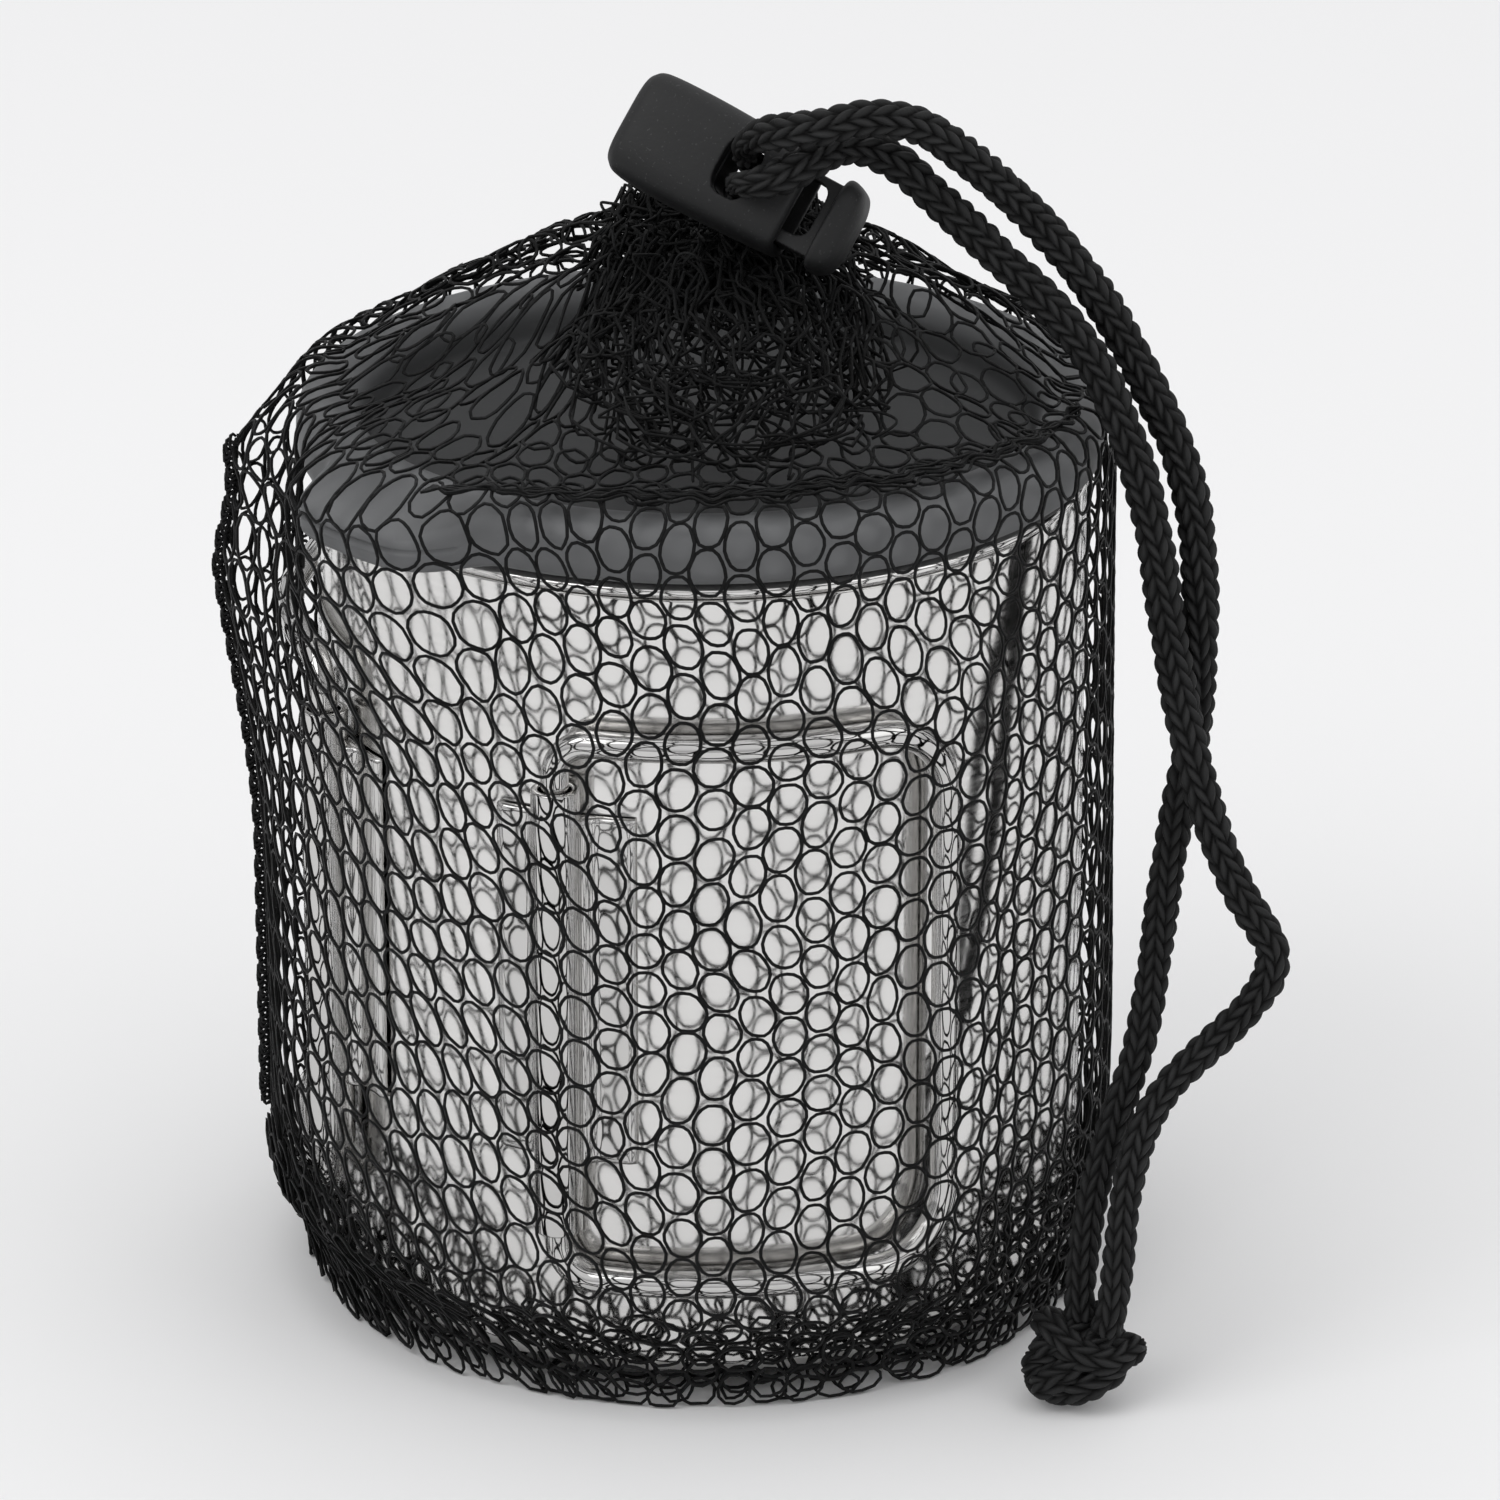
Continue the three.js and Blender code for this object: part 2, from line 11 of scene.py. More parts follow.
import bpy
import numpy as np
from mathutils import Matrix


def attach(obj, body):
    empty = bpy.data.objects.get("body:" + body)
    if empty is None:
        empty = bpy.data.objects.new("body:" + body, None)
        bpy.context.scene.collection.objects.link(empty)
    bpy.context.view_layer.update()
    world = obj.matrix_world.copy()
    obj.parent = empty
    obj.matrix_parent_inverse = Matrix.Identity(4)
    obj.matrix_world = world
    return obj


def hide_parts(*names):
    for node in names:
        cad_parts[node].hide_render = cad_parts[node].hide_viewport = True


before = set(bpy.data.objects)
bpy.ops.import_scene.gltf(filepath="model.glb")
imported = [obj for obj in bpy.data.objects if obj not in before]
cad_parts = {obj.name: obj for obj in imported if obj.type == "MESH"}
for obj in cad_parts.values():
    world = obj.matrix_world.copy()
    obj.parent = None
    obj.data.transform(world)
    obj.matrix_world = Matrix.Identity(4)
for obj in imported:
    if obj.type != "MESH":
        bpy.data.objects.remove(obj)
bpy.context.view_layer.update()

LOG = logging.getLogger("packed_mug")
MM = 0.001
SEED = 20
SHEET_EDGE = 0.5
TAU = 2 * np.pi

Points = tuple[tuple[float, ...], ...]
Triple = tuple[float, float, float]
Value = float | Triple | bpy.types.NodeSocket


# ---------------------------------------------------------------- shapes
@dataclass(frozen=True)
class Shell:
    """Corner points in millimetres and faces as arrays of corner numbers.

    A point may also have a flat (u, v), and a hollow from 0 at the surface to 1 deep between a cord's
    stitches or down in the lid's dish, which the materials paint darker as painted shade.
    """

    points: np.ndarray
    faces: list[np.ndarray]
    uv: np.ndarray | None = None
    hollow: np.ndarray | None = None

    def volume(self) -> float:
        """Signed volume: the sum of the tetrahedra that each face makes with the origin."""
        total = 0.0
        for block in self.faces:
            first = self.points[block[:, 0]]
            for k in range(1, block.shape[1] - 1):
                cross = np.cross(self.points[block[:, k]], self.points[block[:, k + 1]])
                total += float(np.einsum("ij,ij->", first, cross)) / 6
        return total


class Body(Enum):
    """The moving bodies that pieces ride on."""

    MUG = "mug"
    FRONT_HANDLE = "front_handle"
    SIDE_HANDLE = "side_handle"
    LID = "lid"
    BAG = "bag"
    PLUNGER = "plunger"


class Slot(Enum):
    """The record's material slots."""

    STEEL = "steel"
    WIRE = "wire"
    LID = "lid_plastic"
    SEAL = "seal_rubber"
    NET = "net"
    LOCK = "lock_plastic"
    SPRING = "spring_steel"
    CORD = "cord"


def unit(vectors: np.ndarray) -> np.ndarray:
    """The same vectors with length 1."""
    return vectors / np.maximum(np.linalg.norm(vectors, axis=-1, keepdims=True), 1e-12)


def smoothstep(low: float, high: float, x: np.ndarray) -> np.ndarray:
    """0 below low, 1 above high and 3t^2 - 2t^3 between."""
    t = np.clip((x - low) / (high - low), 0, 1)
    return t * t * (3 - 2 * t)


def signed_power(x: np.ndarray, power: float) -> np.ndarray:
    """|x| to a power, with the sign of x."""
    return np.sign(x) * np.abs(x) ** power


def polar(angle: np.ndarray, radius: np.ndarray, z: np.ndarray) -> np.ndarray:
    """Points at an angle round the mug: x = r sin a, y = -r cos a."""
    a, r, z = np.broadcast_arrays(np.radians(angle), radius, z)
    return np.stack([r * np.sin(a), -r * np.cos(a), z], axis=-1)


def joined(shells: list[Shell]) -> Shell:
    """Several shells as one.

    Args:
        shells: The shells, all with uv or all without.

    Returns:
        One shell whose face numbers are shifted past the points before them.
    """
    starts = np.cumsum([0] + [len(s.points) for s in shells[:-1]])
    faces = [block + start for s, start in zip(shells, starts) for block in s.faces]
    uv = None if shells[0].uv is None else np.vstack([s.uv for s in shells])
    hollow = None if shells[0].hollow is None else np.concatenate([s.hollow for s in shells])
    return Shell(np.vstack([s.points for s in shells]), faces, uv, hollow)


def skin(rings: np.ndarray, wrap: bool = False, uv: np.ndarray | None = None) -> Shell:
    """A closed skin over rings of equally many points.

    Args:
        rings: Array (rings, points round, 3).
        wrap: True when the last ring is joined to the first. Otherwise fans close both ends.
        uv: Array (rings, points round, 2), or None.

    Returns:
        The shell: a quad between each pair of neighbouring points of neighbouring rings.
    """
    count, around = rings.shape[:2]
    ids = np.arange(count * around).reshape(count, around)
    low, high = (ids, np.roll(ids, -1, axis=0)) if wrap else (ids[:-1], ids[1:])
    corners = [low, np.roll(low, -1, axis=1), np.roll(high, -1, axis=1), high]
    faces = [np.stack(corners, axis=-1).reshape(-1, 4)]
    points = rings.reshape(-1, 3)
    flat = None if uv is None else uv.reshape(-1, 2)
    if not wrap:
        points = np.vstack([points, rings[0].mean(0), rings[-1].mean(0)])
        middle = np.full(around, count * around)
        faces.append(np.stack([middle, np.roll(ids[0], -1), ids[0]], axis=1))
        faces.append(np.stack([middle + 1, ids[-1], np.roll(ids[-1], -1)], axis=1))
        if flat is not None:
            flat = np.vstack([flat, uv[0].mean(0), uv[-1].mean(0)])
    return Shell(points, faces, flat)


def rounded(profile: Points, radius: float, wrap: bool, steps: int = 5) -> np.ndarray:
    """A profile with its corners rounded off.

    Args:
        profile: [radius, height] pairs.
        radius: How far from each corner the rounding starts, at most 0.45 of the shorter side.
        wrap: True for a profile that closes on itself. The ends of an open one keep their corners.
        steps: Points to a corner.

    Returns:
        Points on the quadratic arc (1-t)^2 A + 2t(1-t) P + t^2 B at each corner P.
    """
    p = np.asarray(profile, float)
    back, on = np.roll(p, 1, axis=0) - p, np.roll(p, -1, axis=0) - p
    back_long, on_long = (np.linalg.norm(v, axis=1, keepdims=True) for v in (back, on))
    cut = np.minimum(radius, 0.45 * np.minimum(back_long, on_long))
    a, b = (p + back / back_long * cut)[:, None], (p + on / on_long * cut)[:, None]
    t = np.linspace(0, 1, steps)[None, :, None]
    arcs = (1 - t) ** 2 * a + 2 * t * (1 - t) * p[:, None] + t**2 * b
    if wrap:
        return arcs.reshape(-1, 2)
    return np.vstack([p[:1], arcs[1:-1].reshape(-1, 2), p[-1:]])


def turned(profile: np.ndarray, wrap: bool, around: int = 192) -> Shell:
    """A profile of (r, z) carried once round Z: x = r sin a, y = -r cos a."""
    angle = np.arange(around) * 360 / around
    rings = polar(angle[None], profile[:, :1], profile[:, 1:])
    return skin(rings, wrap)


def distances(line: np.ndarray) -> np.ndarray:
    """How far along a line each of its points lies."""
    return np.r_[0, np.cumsum(np.linalg.norm(np.diff(line, axis=0), axis=1))]


def from_ends(count: int) -> np.ndarray:
    """How many places each of count points lies from the nearer end: 0, 1, 2 ... 2, 1, 0."""
    return np.minimum(np.arange(count), np.arange(count)[::-1])


def smooth_line(points: Points | np.ndarray, step: float) -> np.ndarray:
    """A smooth line through points.

    Args:
        points: Array (points, any number of coordinates).
        step: Distance between the points that come back.

    Returns:
        Points on the Catmull-Rom curve, evenly spaced along its length.
    """
    p = np.asarray(points, float)
    padded = np.vstack([2 * p[0] - p[1], p, 2 * p[-1] - p[-2]])
    a, b, c, d = (padded[k : len(p) - 1 + k, None] for k in range(4))
    t = np.linspace(0, 1, 24, endpoint=False)[None, :, None]
    fine = 0.5 * (2 * b + (c - a) * t + (2 * a - 5 * b + 4 * c - d) * t**2 + (3 * b - a - 3 * c + d) * t**3)
    fine = np.vstack([fine.reshape(-1, p.shape[1]), p[-1:]])
    run = distances(fine)
    at = np.linspace(0, run[-1], max(2, int(round(run[-1] / step)) + 1))
    return np.stack([np.interp(at, run, fine[:, k]) for k in range(p.shape[1])], axis=1)


def sweep(line: np.ndarray, radius: np.ndarray, up: np.ndarray, around: int) -> np.ndarray:
    """Rings of a bar along a line.

    Args:
        line: Centre points (points, 3).
        radius: One radius for each point, or (points, around) for a section that isn't round.
        up: A direction, or one for each point, that the line never runs along.
        around: Points round the bar.

    Returns:
        Rings (points, around, 3): centre + r (cos t N + sin t B), where B = T x up and N = B x T.
    """
    tangent = unit(np.gradient(line, axis=0))
    side = unit(np.cross(tangent, np.broadcast_to(up, line.shape)))
    normal = np.cross(side, tangent)
    turn = TAU * np.arange(around) / around
    radius = np.asarray(radius, float).reshape(len(line), -1, 1)
    across = np.cos(turn)[None, :, None] * normal[:, None] + np.sin(turn)[None, :, None] * side[:, None]
    return line[:, None] + radius * across


def yarns(line: np.ndarray, normal: np.ndarray, radius: float, sides: int, loop: bool) -> Shell:
    """Many thin yarns at once.

    Args:
        line: Centre points (yarns, points, 3).
        normal: Directions off the cloth, of the same shape.
        radius: Yarn radius.
        sides: Flat sides of a yarn.
        loop: True when each yarn closes on itself. Otherwise its ends are capped.

    Returns:
        One shell of closed tubes, each a ring of `sides` points at centre + r (cos t N + sin t B).
    """
    if loop:
        tangent = unit(np.roll(line, -1, axis=1) - np.roll(line, 1, axis=1))
    else:
        tangent = unit(np.gradient(line, axis=1))
    side = unit(np.cross(tangent, normal))
    off = np.cross(side, tangent)
    turn = TAU * (np.arange(sides) + 0.5) / sides
    section = np.cos(turn)[:, None] * off[:, :, None] + np.sin(turn)[:, None] * side[:, :, None]
    points = line[:, :, None] + radius * section
    ids = np.arange(points[..., 0].size).reshape(points.shape[:3])
    low, high = (ids, np.roll(ids, -1, axis=1)) if loop else (ids[:, :-1], ids[:, 1:])
    quads = np.stack([low, np.roll(low, -1, axis=2), np.roll(high, -1, axis=2), high], axis=-1)
    faces = [quads.reshape(-1, 4)]
    if not loop:
        faces += [ids[:, 0, ::-1], ids[:, -1]]
    return Shell(points.reshape(-1, 3), faces)


def linked(name: str, data: bpy.types.ID) -> bpy.types.Object:
    """An object in the scene for a mesh, a camera or a light."""
    made = bpy.data.objects.new(name, data)
    bpy.context.scene.collection.objects.link(made)
    return made


def mesh_object(name: str, shell: Shell, smooth: bool = True) -> bpy.types.Object:
    """A Blender object from a shell, with faces out.

    Args:
        name: Name of the piece.
        shell: Its closed skin, in millimetres.
        smooth: False for flat shading.

    Returns:
        The linked object, at the origin.
    """
    flip = shell.volume() < 0
    blocks = [block[:, ::-1] if flip else block for block in shell.faces]
    mesh = bpy.data.meshes.new(name)
    mesh.from_pydata((shell.points * MM).tolist(), [], [f for block in blocks for f in block.tolist()])
    mesh.polygons.foreach_set("use_smooth", np.full(len(mesh.polygons), smooth))
    if shell.uv is not None:
        corner = np.empty(len(mesh.loops), np.int32)
        mesh.loops.foreach_get("vertex_index", corner)
        layer = mesh.uv_layers.new(name="surface")
        layer.data.foreach_set("uv", shell.uv[corner].astype(np.float32).ravel())
    if shell.hollow is not None:
        depths = mesh.attributes.new("hollow", "FLOAT", "POINT")
        depths.data.foreach_set("value", shell.hollow.astype(np.float32))
    mesh.update()
    return linked(name, mesh)


def piece(
    name: str,
    shape: Shell | bpy.types.Object,
    finish: bpy.types.Material,
    body: Body,
    slot: Slot,
    *replaced: str,
) -> bpy.types.Object:
    """Makes a piece, finishes it and ties it to its body.

    Args:
        name: Name of the piece.
        shape: Its skin, or an object that is already made.
        finish: Its material.
        body: The body that it rides on.
        slot: The record's slot for its finish. Not used.
        replaced: CAD nodes that it stands for.

    Returns:
        The piece's object.
    """
    made = mesh_object(name, shape) if isinstance(shape, Shell) else shape
    made.data.materials.clear()
    made.data.materials.append(finish)
    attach(made, body.value)
    if replaced:
        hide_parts(*replaced)
    LOG.info("%s: %d faces on %s", name, len(made.data.polygons), body.value)
    return made


# ---------------------------------------------------------------- finishes
class Recipe:
    """One material's nodes, with short ways to add and join them."""

    def __init__(self, name: str) -> None:
        """Starts a material that has only its shader."""
        self.material = bpy.data.materials.new(name)
        self.material.use_nodes = True
        self.tree = self.material.node_tree
        self.shader = next(n for n in self.tree.nodes if n.type == "BSDF_PRINCIPLED")

    def feed(self, target: bpy.types.NodeSocket, value: Value) -> None:
        """Links an output to an input, or sets the input to a number or a colour."""
        if isinstance(value, bpy.types.NodeSocket):
            self.tree.links.new(value, target)
        else:
            target.default_value = value

    def fill(self, node: bpy.types.Node, values: dict[str, Value]) -> bpy.types.Node:
        """Feeds a node's inputs by name, with _ for a space."""
        for key, value in values.items():
            self.feed(node.inputs[key.replace("_", " ")], value)
        return node

    def node(self, kind: str, **values: Value) -> bpy.types.Node:
        """Adds a node and feeds its inputs."""
        return self.fill(self.tree.nodes.new(kind), values)

    def finish(self, **values: Value) -> bpy.types.Material:
        """Feeds the shader and gives the material back."""
        self.fill(self.shader, values)
        return self.material

    def place(self, stretch: Triple = (1, 1, 1), output: str = "Object") -> bpy.types.NodeSocket:
        """Object or UV coordinates, stretched."""
        where = self.node("ShaderNodeTexCoord").outputs[output]
        return self.node("ShaderNodeMapping", Vector=where, Scale=stretch).outputs["Vector"]

    def noise(self, place: bpy.types.NodeSocket, scale: float, detail: float) -> bpy.types.NodeSocket:
        """A noise pattern's grey value."""
        return self.node("ShaderNodeTexNoise", Vector=place, Scale=scale, Detail=detail).outputs["Fac"]

    def spread(
        self, grey: bpy.types.NodeSocket, low: float, high: float, start: float = 0.3, end: float = 0.7
    ) -> bpy.types.NodeSocket:
        """A grey value between start and end, moved to lie between low and high."""
        ends = {"From_Min": start, "From_Max": end, "To_Min": low, "To_Max": high}
        return self.node("ShaderNodeMapRange", Value=grey, **ends).outputs["Result"]

    def mix(self, share: Value, first: Value, second: Value, kind: str = "MIX") -> bpy.types.NodeSocket:
        """Two colours mixed, where share is how much of the second."""
        made = self.node("ShaderNodeMix")
        made.data_type, made.blend_type = "RGBA", kind
        for index, value in ((0, share), (6, first), (7, second)):
            self.feed(made.inputs[index], (*value, 1) if isinstance(value, tuple) else value)
        return made.outputs[2]

    def hollow(self) -> bpy.types.NodeSocket:
        """The mesh's own measure of how deep a point lies in a hollow."""
        made = self.node("ShaderNodeAttribute")
        made.attribute_name = "hollow"
        return made.outputs["Fac"]

    def relief(self, grey: bpy.types.NodeSocket, strength: float, depth: float) -> bpy.types.NodeSocket:
        """The bumped normal, depth in metres."""
        made = self.node("ShaderNodeBump", Height=grey, Strength=strength, Distance=depth)
        return made.outputs["Normal"]


@dataclass(frozen=True)
class PolishedSteel:
    """Mirror-bright stainless sheet or wire, with faint polishing lines and slow waviness."""

    name: str
    tone: float = 0.74
    gloss: tuple[float, float] = (0.08, 0.15)
    lines: Triple = (1, 1, 14)

    def material(self) -> bpy.types.Material:
        """Builds the node material."""
        r = Recipe(self.name)
        fine, slow = r.noise(r.place(self.lines), 160, 4), r.noise(r.place(), 55, 2)
        dark = (self.tone * 0.93, self.tone * 0.92, self.tone * 0.9)
        light = (self.tone, self.tone * 0.99, self.tone * 0.975)
        return r.finish(
            Metallic=1.0, Specular_IOR_Level=0.6, Roughness=r.spread(fine, *self.gloss),
            Base_Color=r.mix(slow, dark, light), Normal=r.relief(slow, 0.35, 0.00002),
        )


@dataclass(frozen=True)
class MouldedPlastic:
    """Moulded plastic or rubber with a fine spark-eroded grain, a few pale specks, and painted shade with
    less shine where the mesh is marked hollow.

    Grain is the pattern's scale and depth its height in metres. Specks and the shade are tones: what a speck
    adds, and the painted shade that the colour is multiplied by where the mesh is marked hollow.
    """

    name: str
    dark: Triple
    light: Triple
    rough: tuple[float, float]
    grain: float
    depth: float
    specks: float
    hollow_shade: float = 1.0

    def material(self) -> bpy.types.Material:
        """Builds the node material."""
        r = Recipe(self.name)
        place, sunk = r.place(), r.hollow()
        grain, slow = r.noise(place, self.grain, 5), r.noise(place, 70, 3)
        colour = r.mix(r.spread(slow, 0, 1), self.dark, self.light)
        # Painted shade: where the hollow attribute is high (down in the lid's dish) the colour is multiplied
        # by the shade tone.
        colour = r.mix(sunk, colour, (self.hollow_shade,) * 3, "MULTIPLY")
        dots = r.spread(r.noise(place, self.grain * 1.3, 1), 0, self.specks, 0.67, 0.74)
        return r.finish(
            Specular_IOR_Level=r.spread(sunk, 0.36, 0.1, 0, 1), Roughness=r.spread(slow, *self.rough),
            Base_Color=r.mix(1.0, colour, dots, "ADD"), Normal=r.relief(grain, 0.5, self.depth),
        )


@dataclass(frozen=True)
class NetYarn:
    """Black nylon filament yarn: a slight sheen and fibres along it."""

    name: str
    dark: float = 0.002
    light: float = 0.007

    def material(self) -> bpy.types.Material:
        """Builds the node material."""
        r = Recipe(self.name)
        fibre, patch = r.noise(r.place(), 2600, 3), r.noise(r.place(), 160, 2)
        light = (self.light, self.light * 1.04, self.light * 1.08)
        return r.finish(
            Specular_IOR_Level=0.16, Sheen_Weight=0.02, Sheen_Roughness=0.4,
            Roughness=r.spread(fibre, 0.55, 0.8), Normal=r.relief(fibre, 0.6, 0.00006),
            Base_Color=r.mix(r.spread(patch, 0, 1), (self.dark,) * 3, light),
        )


@dataclass(frozen=True)
class BraidCord:
    """Black knitted polypropylene cord: fibres along each stitch, and painted shade darkening it between
    stitches.
    """

    name: str
    # Painted shade: the near-black colour that the cord takes deep between its stitches.
    deep: float = 0.0006
    dark: float = 0.004
    light: float = 0.014

    def material(self) -> bpy.types.Material:
        """Builds the node material."""
        r = Recipe(self.name)
        fibre = r.noise(r.place((2.2, 0.9, 1), "UV"), 3.4, 4)
        patch, sunk = r.noise(r.place(), 240, 2), r.hollow()
        light = (self.light, self.light * 1.03, self.light * 1.05)
        top = r.mix(r.spread(patch, 0.3, 1), (self.dark,) * 3, light)
        return r.finish(
            Specular_IOR_Level=0.28, Roughness=r.spread(sunk, 0.5, 1, 0, 1),
            Normal=r.relief(fibre, 0.7, 0.00012),
            # Painted shade: the colour falls to the shade tone where the hollow attribute marks a point deep
            # between stitches.
            Base_Color=r.mix(r.spread(sunk, 0, 1, 0.25, 0.75), top, (self.deep,) * 3),
        )


@dataclass(frozen=True)
class PaleFloor:
    """Matt pale studio floor."""

    name: str = "pale_floor"
    tone: float = 0.87

    def material(self) -> bpy.types.Material:
        """Builds the node material."""
        r = Recipe(self.name)
        grey = r.mix(r.noise(r.place(), 3, 2), (self.tone * 0.995,) * 3, (self.tone,) * 3)
        return r.finish(Roughness=0.9, Specular_IOR_Level=0.1, Base_Color=grey)


# ---------------------------------------------------------------- the mug
@dataclass
class Mug:
    """A double-walled steel mug: outer wall, inner wall with a rolled lip, and a dished base cap."""

    finish: bpy.types.Material
    outer: Points = (
        (37.5, 2.1), (39.4, 2.1), (41, 2.9), (41.8, 4.3), (42, 6), (42, 92.8), (41.4, 92.8), (41.4, 6.1),
        (41.2, 4.6), (40.6, 3.5), (39.2, 2.7), (37.5, 2.7),
    )
    inner: Points = (
        (34.6, 7), (37.6, 8.2), (39.1, 10.8), (39.2, 14), (39.2, 90.6), (40, 92.4), (41.2, 93.1),
        (42.5, 93.1), (42.8, 93.5), (42.8, 94.1), (42.2, 94.5), (41.2, 94.6), (40, 94.3), (39, 93),
        (38.6, 90.6), (38.6, 14.2), (38.4, 11.2), (37, 8.9), (34.4, 7.7),
    )
    cap: Points = (
        (34.8, 3.5), (36, 2.1), (37.2, 2.1), (37.2, 3.2), (36.4, 4.2), (34.8, 4.2),
    )

    def build(self) -> None:
        """Turns the three sheets."""
        for node, profile, wrap in (
            ("outer_wall", self.outer, True),
            ("inner_wall", self.inner, False),
            ("base_cap", self.cap, False),
        ):
            shape = turned(rounded(profile, SHEET_EDGE, wrap), wrap)
            piece(f"{node}.sheet", shape, self.finish, Body.MUG, Slot.STEEL, node)


@dataclass
class Handle:
    """One folding handle: a bent wire loop and the pressed plate that carries its two ends."""

    finish: bpy.types.Material
    node: str
    plate_node: str
    hinge: float
    way: int
    body: Body
    ring: float = 45.0
    wire: float = 3.0
    span: float = 55.4
    top: float = 77.2
    low: float = 15.2
    small: float = 4.0
    large: float = 8.5
    wire_ends: tuple[float, float] = (31.4, 61.6)
    plate: tuple[float, float] = (28.0, 68.0)
    plate_half: float = 10.6
    plate_faces: tuple[float, float] = (42.3, 43.0)
    barrel_ends: tuple[float, float] = (20.6, 71.8)
    barrel_radii: tuple[float, float] = (1.8, 2.6)

    def centre_line(self) -> np.ndarray:
        """The loop's middle: (distance round the wall, height), wrapped on the handle's radius."""
        width = np.radians(self.span) * self.ring
        quarter = np.radians(np.linspace(0, 90, 14))

        def corner(s: float, z: float, r: float, start: float) -> np.ndarray:
            """A quarter of a circle, turning clockwise from its starting angle."""
            a = np.radians(start) - quarter
            return np.stack([s + r * np.cos(a), z + r * np.sin(a)], axis=1)

        def run(a: float, b: float, z: float) -> np.ndarray:
            """A straight stretch at one height."""
            s = np.linspace(a, b, 26)[1:-1]
            return np.stack([s, np.full_like(s, z)], axis=1)

        def rise(s: float, a: float, b: float) -> np.ndarray:
            """A straight stretch up or down."""
            z = np.linspace(a, b, 22)[1:-1]
            return np.stack([np.full_like(z, s), z], axis=1)

        flat = np.vstack(
            [
                rise(0, self.wire_ends[1], self.top - self.small),
                corner(self.small, self.top - self.small, self.small, 180),
                run(self.small, width - self.large, self.top),
                corner(width - self.large, self.top - self.large, self.large, 90),
                rise(width, self.top - self.large, self.low + self.large),
                corner(width - self.large, self.low + self.large, self.large, 0),
                run(width - self.large, self.small, self.low),
                corner(self.small, self.low + self.small, self.small, 270),
                rise(0, self.low + self.small, self.wire_ends[0]),
            ]
        )
        angle = self.hinge + self.way * np.degrees(flat[:, 0] / self.ring)
        return polar(angle, self.ring, flat[:, 1])

    def build(self) -> None:
        """Makes the wire loop and its hinge plate."""
        line = self.centre_line()
        out = unit(line * [1, 1, 0])
        radius = self.wire / 2 * np.clip(0.75 + 0.25 * from_ends(len(line)), 0, 1)
        loop = skin(sweep(line, radius, out, 28))
        piece(f"{self.node}.wire", loop, self.finish, self.body, Slot.WIRE, self.node)
        pressing = joined([self.flange(), self.barrel()])
        piece(f"{self.plate_node}.pressing", pressing, self.finish, Body.MUG, Slot.STEEL, self.plate_node)

    def flange(self) -> Shell:
        """A thin slab on the wall. Its outer face rises by bell curves to both sides of the barrel."""
        half, (low, high), (inside, outside) = self.plate_half, self.plate, self.plate_faces
        angle = np.linspace(-half, half, 61)
        away = np.abs(np.radians(angle) * self.ring)
        rise, spread, thinned = 1.2, 0.9, 0.35
        swell = rise * np.exp(-(((away - self.barrel_radii[1]) / spread) ** 2))
        edge = thinned * smoothstep(half - 1, half, np.abs(angle))
        z = np.r_[low, low + 0.15, np.linspace(low + 0.6, high - 0.6, 30), high - 0.15, high]
        taper = np.r_[thinned, 0.12, np.zeros(30), 0.12, thinned][:, None]
        angle = self.hinge + angle
        outer = polar(angle[None], (outside + swell - edge)[None] - taper, z[:, None])
        inner = polar(angle[None, ::-1], np.full((len(z), len(angle)), inside), z[:, None])
        return skin(np.concatenate([outer, inner], axis=1))

    def barrel(self) -> Shell:
        """The rolled tube round the wire ends, with rounded rims."""
        (low, high), (bore, out) = self.barrel_ends, self.barrel_radii
        shape = turned(rounded(((bore, low), (out, low), (out, high), (bore, high)), 0.3, True), True, 48)
        return Shell(shape.points + polar(self.hinge, self.ring, 0), shape.faces)


